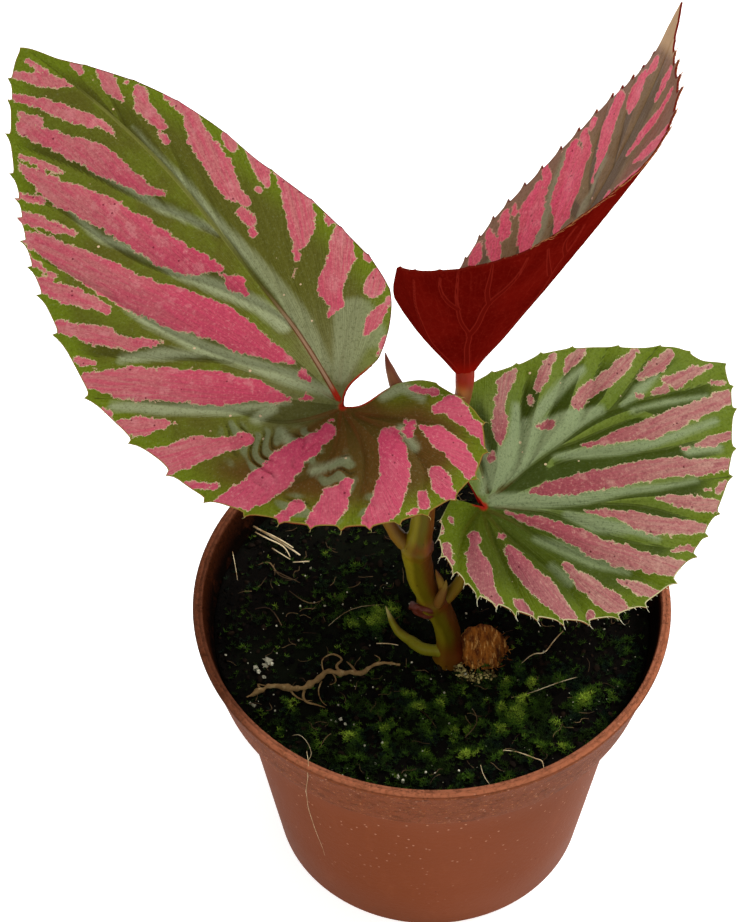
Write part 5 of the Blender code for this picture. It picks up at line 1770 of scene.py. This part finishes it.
def puckers(bearing, reach):
    """Broad-topped waves of about half a millimetre that run across the rays, at each point."""
    heights = []
    for way, far in zip(bearing.ravel(), reach.ravel()):
        drift = noise.noise(Vector((far * 0.09, way * 0.08, 5.0)))
        patch = noise.noise(Vector((far * 0.16, way * 0.05, 9.0)))
        wave = 2 * abs(math.sin(far * 0.74 + 3.4 * drift)) ** 0.7 - 1
        heights.append(0.5 * wave * min(1.0, max(0.1, 0.9 + 2.4 * patch)))
    return np.array(heights).reshape(bearing.shape)


def rim_distance(spots, rim):
    """Distance from each flat spot to the nearest point of the margin, taken in blocks."""
    nearest = np.empty(len(spots))
    for start in range(0, len(spots), BLOCK):
        block = spots[start:start + BLOCK]
        nearest[start:start + BLOCK] = np.sqrt(((block[:, None, :] - rim[None, :, :]) ** 2).sum(2).min(1))
    return nearest


def blade(name, place, drawing, skins, rows, ray_pitch, swell, quilt, ridge, pinch=(0, 0)):
    """A toothed blade with its pattern stored at its points."""
    outline, teeth, veins, splashes, silver_sheen = drawing
    bearings, margin, added = toothed(outline, teeth, ray_pitch)
    rays = len(bearings)
    inner = np.linspace(0, OUTER_START, rows - OUTER_ROWS, endpoint=False)
    share = np.concatenate([inner, np.linspace(OUTER_START, 1, OUTER_ROWS)])
    bearing = np.repeat(bearings[:, None], rows, axis=1)
    tooth = np.clip((share - 0.8) / 0.2, 0, 1) ** 2
    reach = FIRST_REACH + (margin[:, None] - FIRST_REACH) * share[None, :] + added[:, None] * tooth[None, :]
    near_stalk = np.exp(-(reach / 7.0) ** 2)
    low_end = soft_step(bearings, bearings[0] + 70, bearings[0])[:, None]
    high_end = soft_step(bearings, bearings[-1] - 70, bearings[-1])[:, None]
    bearing = bearing + near_stalk * (pinch[0] * low_end - pinch[1] * high_end)
    middle = place(bearing, reach)
    normal = unit(np.cross(np.gradient(middle, axis=1), np.gradient(middle, axis=0)))
    spots = flat(bearing, reach).reshape(-1, 2)
    nearest, vein = vein_gap(spots, veins, 0.45, 0.1)
    rib_bearing = np.interp(reach, [spot[1] for spot in veins[0]], [spot[0] for spot in veins[0]])
    strength = swell(bearing - rib_bearing)
    rise = np.sin(math.pi * share ** 0.8) * 0.85 + 0.15 * share
    puff = (1 - np.exp(-(nearest / 3.6) ** 1.5)).reshape(rays, rows)
    arc = np.gradient(np.radians(bearing), axis=0) * np.maximum(reach, 3.0)
    # lit is the pleat's slope across the rays; the upper skin paints shade where it falls below nought.
    lit = 3.6 * np.gradient(puff, axis=0) / arc
    relief = strength * (puff - 0.45) * rise
    groove = 0.32 * np.minimum(1, strength / 1.4) * (1 - np.exp(-(reach / 5.0) ** 2))
    relief -= np.exp(-(np.maximum(vein, 0) / 0.42) ** 2).reshape(rays, rows) * groove * (share < 0.985)
    lumps = quilt(bearing, reach) * puckers(bearing, reach) * np.minimum(puff * 1.4, 1)
    relief += lumps
    upper = middle + (relief + BLADE_THICKNESS / 2)[..., None] * normal

    deselect_all()
    bpy.ops.mesh.primitive_grid_add(x_subdivisions=rays - 1, y_subdivisions=rows - 1, size=0.1)
    piece = bpy.context.object
    piece.name = name

    def in_grid_order(values):
        values = values.reshape(rays, rows, -1)[::-1]
        return np.swapaxes(values, 0, 1).reshape(rays * rows, -1)

    set_points(piece, in_grid_order(upper))
    from_notch = np.minimum(bearings - bearings[0], bearings[-1] - bearings)[:, None]
    stored = {
        "splash": depth_inside(spots, splashes), "silver_sheen": depth_inside(spots, silver_sheen), "vein": vein,
        "edge": rim_distance(spots, flat(bearings, reach[:, -1])), "bearing": bearing, "reach": reach,
        "half": bearing - rib_bearing, "share": np.tile(share, rays), "lit": lit, "lump": lumps,
        "rib": vein_gap(spots, veins[:1], 0.5, 0.1)[1], "notch": np.radians(from_notch) * reach,
    }
    for label, values in stored.items():
        mark(piece, label, in_grid_order(values).ravel())
    for skin in skins:
        piece.data.materials.append(skin)
    thick = piece.modifiers.new("thickness", "SOLIDIFY")
    thick.thickness = BLADE_THICKNESS * MM
    thick.offset = -1.0
    thick.material_offset = 1
    thick.material_offset_rim = 1
    apply_modifiers(piece)
    points = points_of(piece)
    raised = ridge * np.exp(-(np.maximum(in_grid_order(vein).ravel(), 0) / 0.35) ** 2)
    raised += np.exp(-(in_grid_order(reach).ravel() / 4.0) ** 2)
    inside = in_grid_order(np.tile(share, rays)).ravel() < 0.97
    points[rays * rows:] -= in_grid_order(normal) * (raised * inside)[:, None]
    set_points(piece, points)
    pick(piece)
    bpy.ops.object.shade_smooth_by_angle(angle=math.radians(55))
    print(name, "has", rays, "rays and", rows, "rows,", len(piece.data.polygons), "faces")
    rim_points = upper[:, -1] - normal[:, -1] * BLADE_THICKNESS / 2
    outward = unit(rim_points - upper[:, -3])
    along = unit(np.gradient(rim_points, axis=0))
    return piece, {"bearing": bearings, "at": rim_points, "out": outward, "along": along}


def everywhere(value):
    """A swell or pucker rule that has one value all over the blade."""
    return lambda *spot: value


def left_swell(bearing):
    """Deep pleats on the left half and a nearly smooth right half."""
    return 0.14 + 1.4 * soft_step(bearing, -3, 4)


def left_quilt(bearing, reach):
    """Between the stalk and the lower margin the blade is puckered like a quilt."""
    round_the_lobe = soft_step(bearing, 46, 60) * (1 - soft_step(bearing, 148, 174))
    return 0.05 + 1.1 * round_the_lobe * soft_step(reach, 7, 12) * (1 - soft_step(reach, 25, 33))


left_drawing = (LEFT_OUTLINE, LEFT_TEETH, LEFT_VEINS, LEFT_SPLASHES, LEFT_SILVER_SHEEN)
right_drawing = (RIGHT_OUTLINE, RIGHT_TEETH, RIGHT_VEINS, RIGHT_SPLASHES, RIGHT_SILVER_SHEEN)
back_drawing = (BACK_OUTLINE, BACK_TEETH, BACK_VEINS, BACK_SPLASHES, BACK_SILVER_SHEEN)
left_leaf, left_rim = blade(
    "left_leaf_blade", left_place, left_drawing, (left_top, left_under),
    rows=120, ray_pitch=0.98, swell=left_swell, quilt=left_quilt, ridge=0.3, pinch=(34, 28))
right_leaf, right_rim = blade(
    "right_leaf_blade", right_place, right_drawing, (right_top, right_under),
    rows=104, ray_pitch=0.72, swell=everywhere(2.3), quilt=everywhere(0.06), ridge=0.3)
back_leaf, back_rim = blade(
    "back_leaf_blade", back_place, back_drawing, (back_top, back_under),
    rows=104, ray_pitch=0.66, swell=everywhere(0.6), quilt=everywhere(0.06), ridge=0.16)
hand_over(left_leaf, "painted_leaf", "left_leaf")
hand_over(right_leaf, "painted_leaf", "right_leaf")
hand_over(back_leaf, "crimson_leaf", "back_leaf")

# %% [markdown]
# Hairs on the margins
#
# Each tooth ends in a stiff hooked hair and shorter ones stand between the teeth. They are longest on the
# lower margin of the right leaf, where they show pale against the soil, and golden near the back leaf's tip.

# %% Hooked hairs, tooth by tooth
FULL_TOOTH = 0.6


def margin_hairs(name, rim, teeth, tooth_hair, stretches, tones, slot):
    """A (length, hook) hair on each full tooth, then (first, last, spacing, length, hook) stretches."""
    on_teeth = [(bearing, bearing, 1.0, *tooth_hair) for bearing, height in teeth if height > FULL_TOOTH]
    rng = np.random.default_rng(len(rim["bearing"]))
    run = length_along(rim["at"])
    runs = []
    for first, last, spacing, length, hook in on_teeth + stretches:
        start, end = np.interp([first, last], rim["bearing"], run)
        for at in np.linspace(start, end, max(1, int(abs(end - start) / spacing))):
            where = at + rng.normal(0, 0.25 * spacing)
            root_spot, out, along = (
                np.array([np.interp(where, run, rim[part][:, axis]) for axis in range(3)])
                for part in ("at", "out", "along"))
            size = length * (0.6 + 0.7 * rng.random())
            out = unit(out + rng.normal(0, 0.14, 3))
            middle = root_spot + out * size * 0.55
            tip = middle + (out * 0.3 + along * hook) * size * 0.6
            runs.append([(*(root_spot - out * 0.3), 0.085), (*middle, 0.05), (*tip, 0.012)])
    hairs = drawn_threads(name, runs)
    skin = Skin(name.replace("_", " "), 0.5, Specular_IOR_Level=0.2)
    skin.colour(skin.blend(skin.noise(300, 2), *tones))
    dress(hairs, skin, slot)


LEFT_STRETCHES = [(8, 90, 3.0, 0.5, -0.5)]
RIGHT_STRETCHES = [(-165, -52, 2.2, 0.9, 0.05), (-52, -3, 2.6, 0.6, 0.3), (4, 80, 3.0, 0.5, -0.4)]
BACK_STRETCHES = [(-48, -4, 0.7, 1.5, 0.7), (-130, -48, 2.5, 0.6, 0.4), (2, 60, 2.5, 0.7, -0.4)]
dull, pale, golden = ("7c7430", "b4a468"), ("a8a478", "e2dcc0"), ("7a2c1c", "c88a48")
margin_hairs("left_margin_hairs", left_rim, LEFT_TEETH, (1.3, -0.5), LEFT_STRETCHES, dull, "painted_leaf")
margin_hairs("right_margin_hairs", right_rim, RIGHT_TEETH, (1.9, 0.15), RIGHT_STRETCHES, pale, "painted_leaf")
margin_hairs("back_margin_hairs", back_rim, BACK_TEETH, (1.3, 0.3), BACK_STRETCHES, golden, "crimson_leaf")
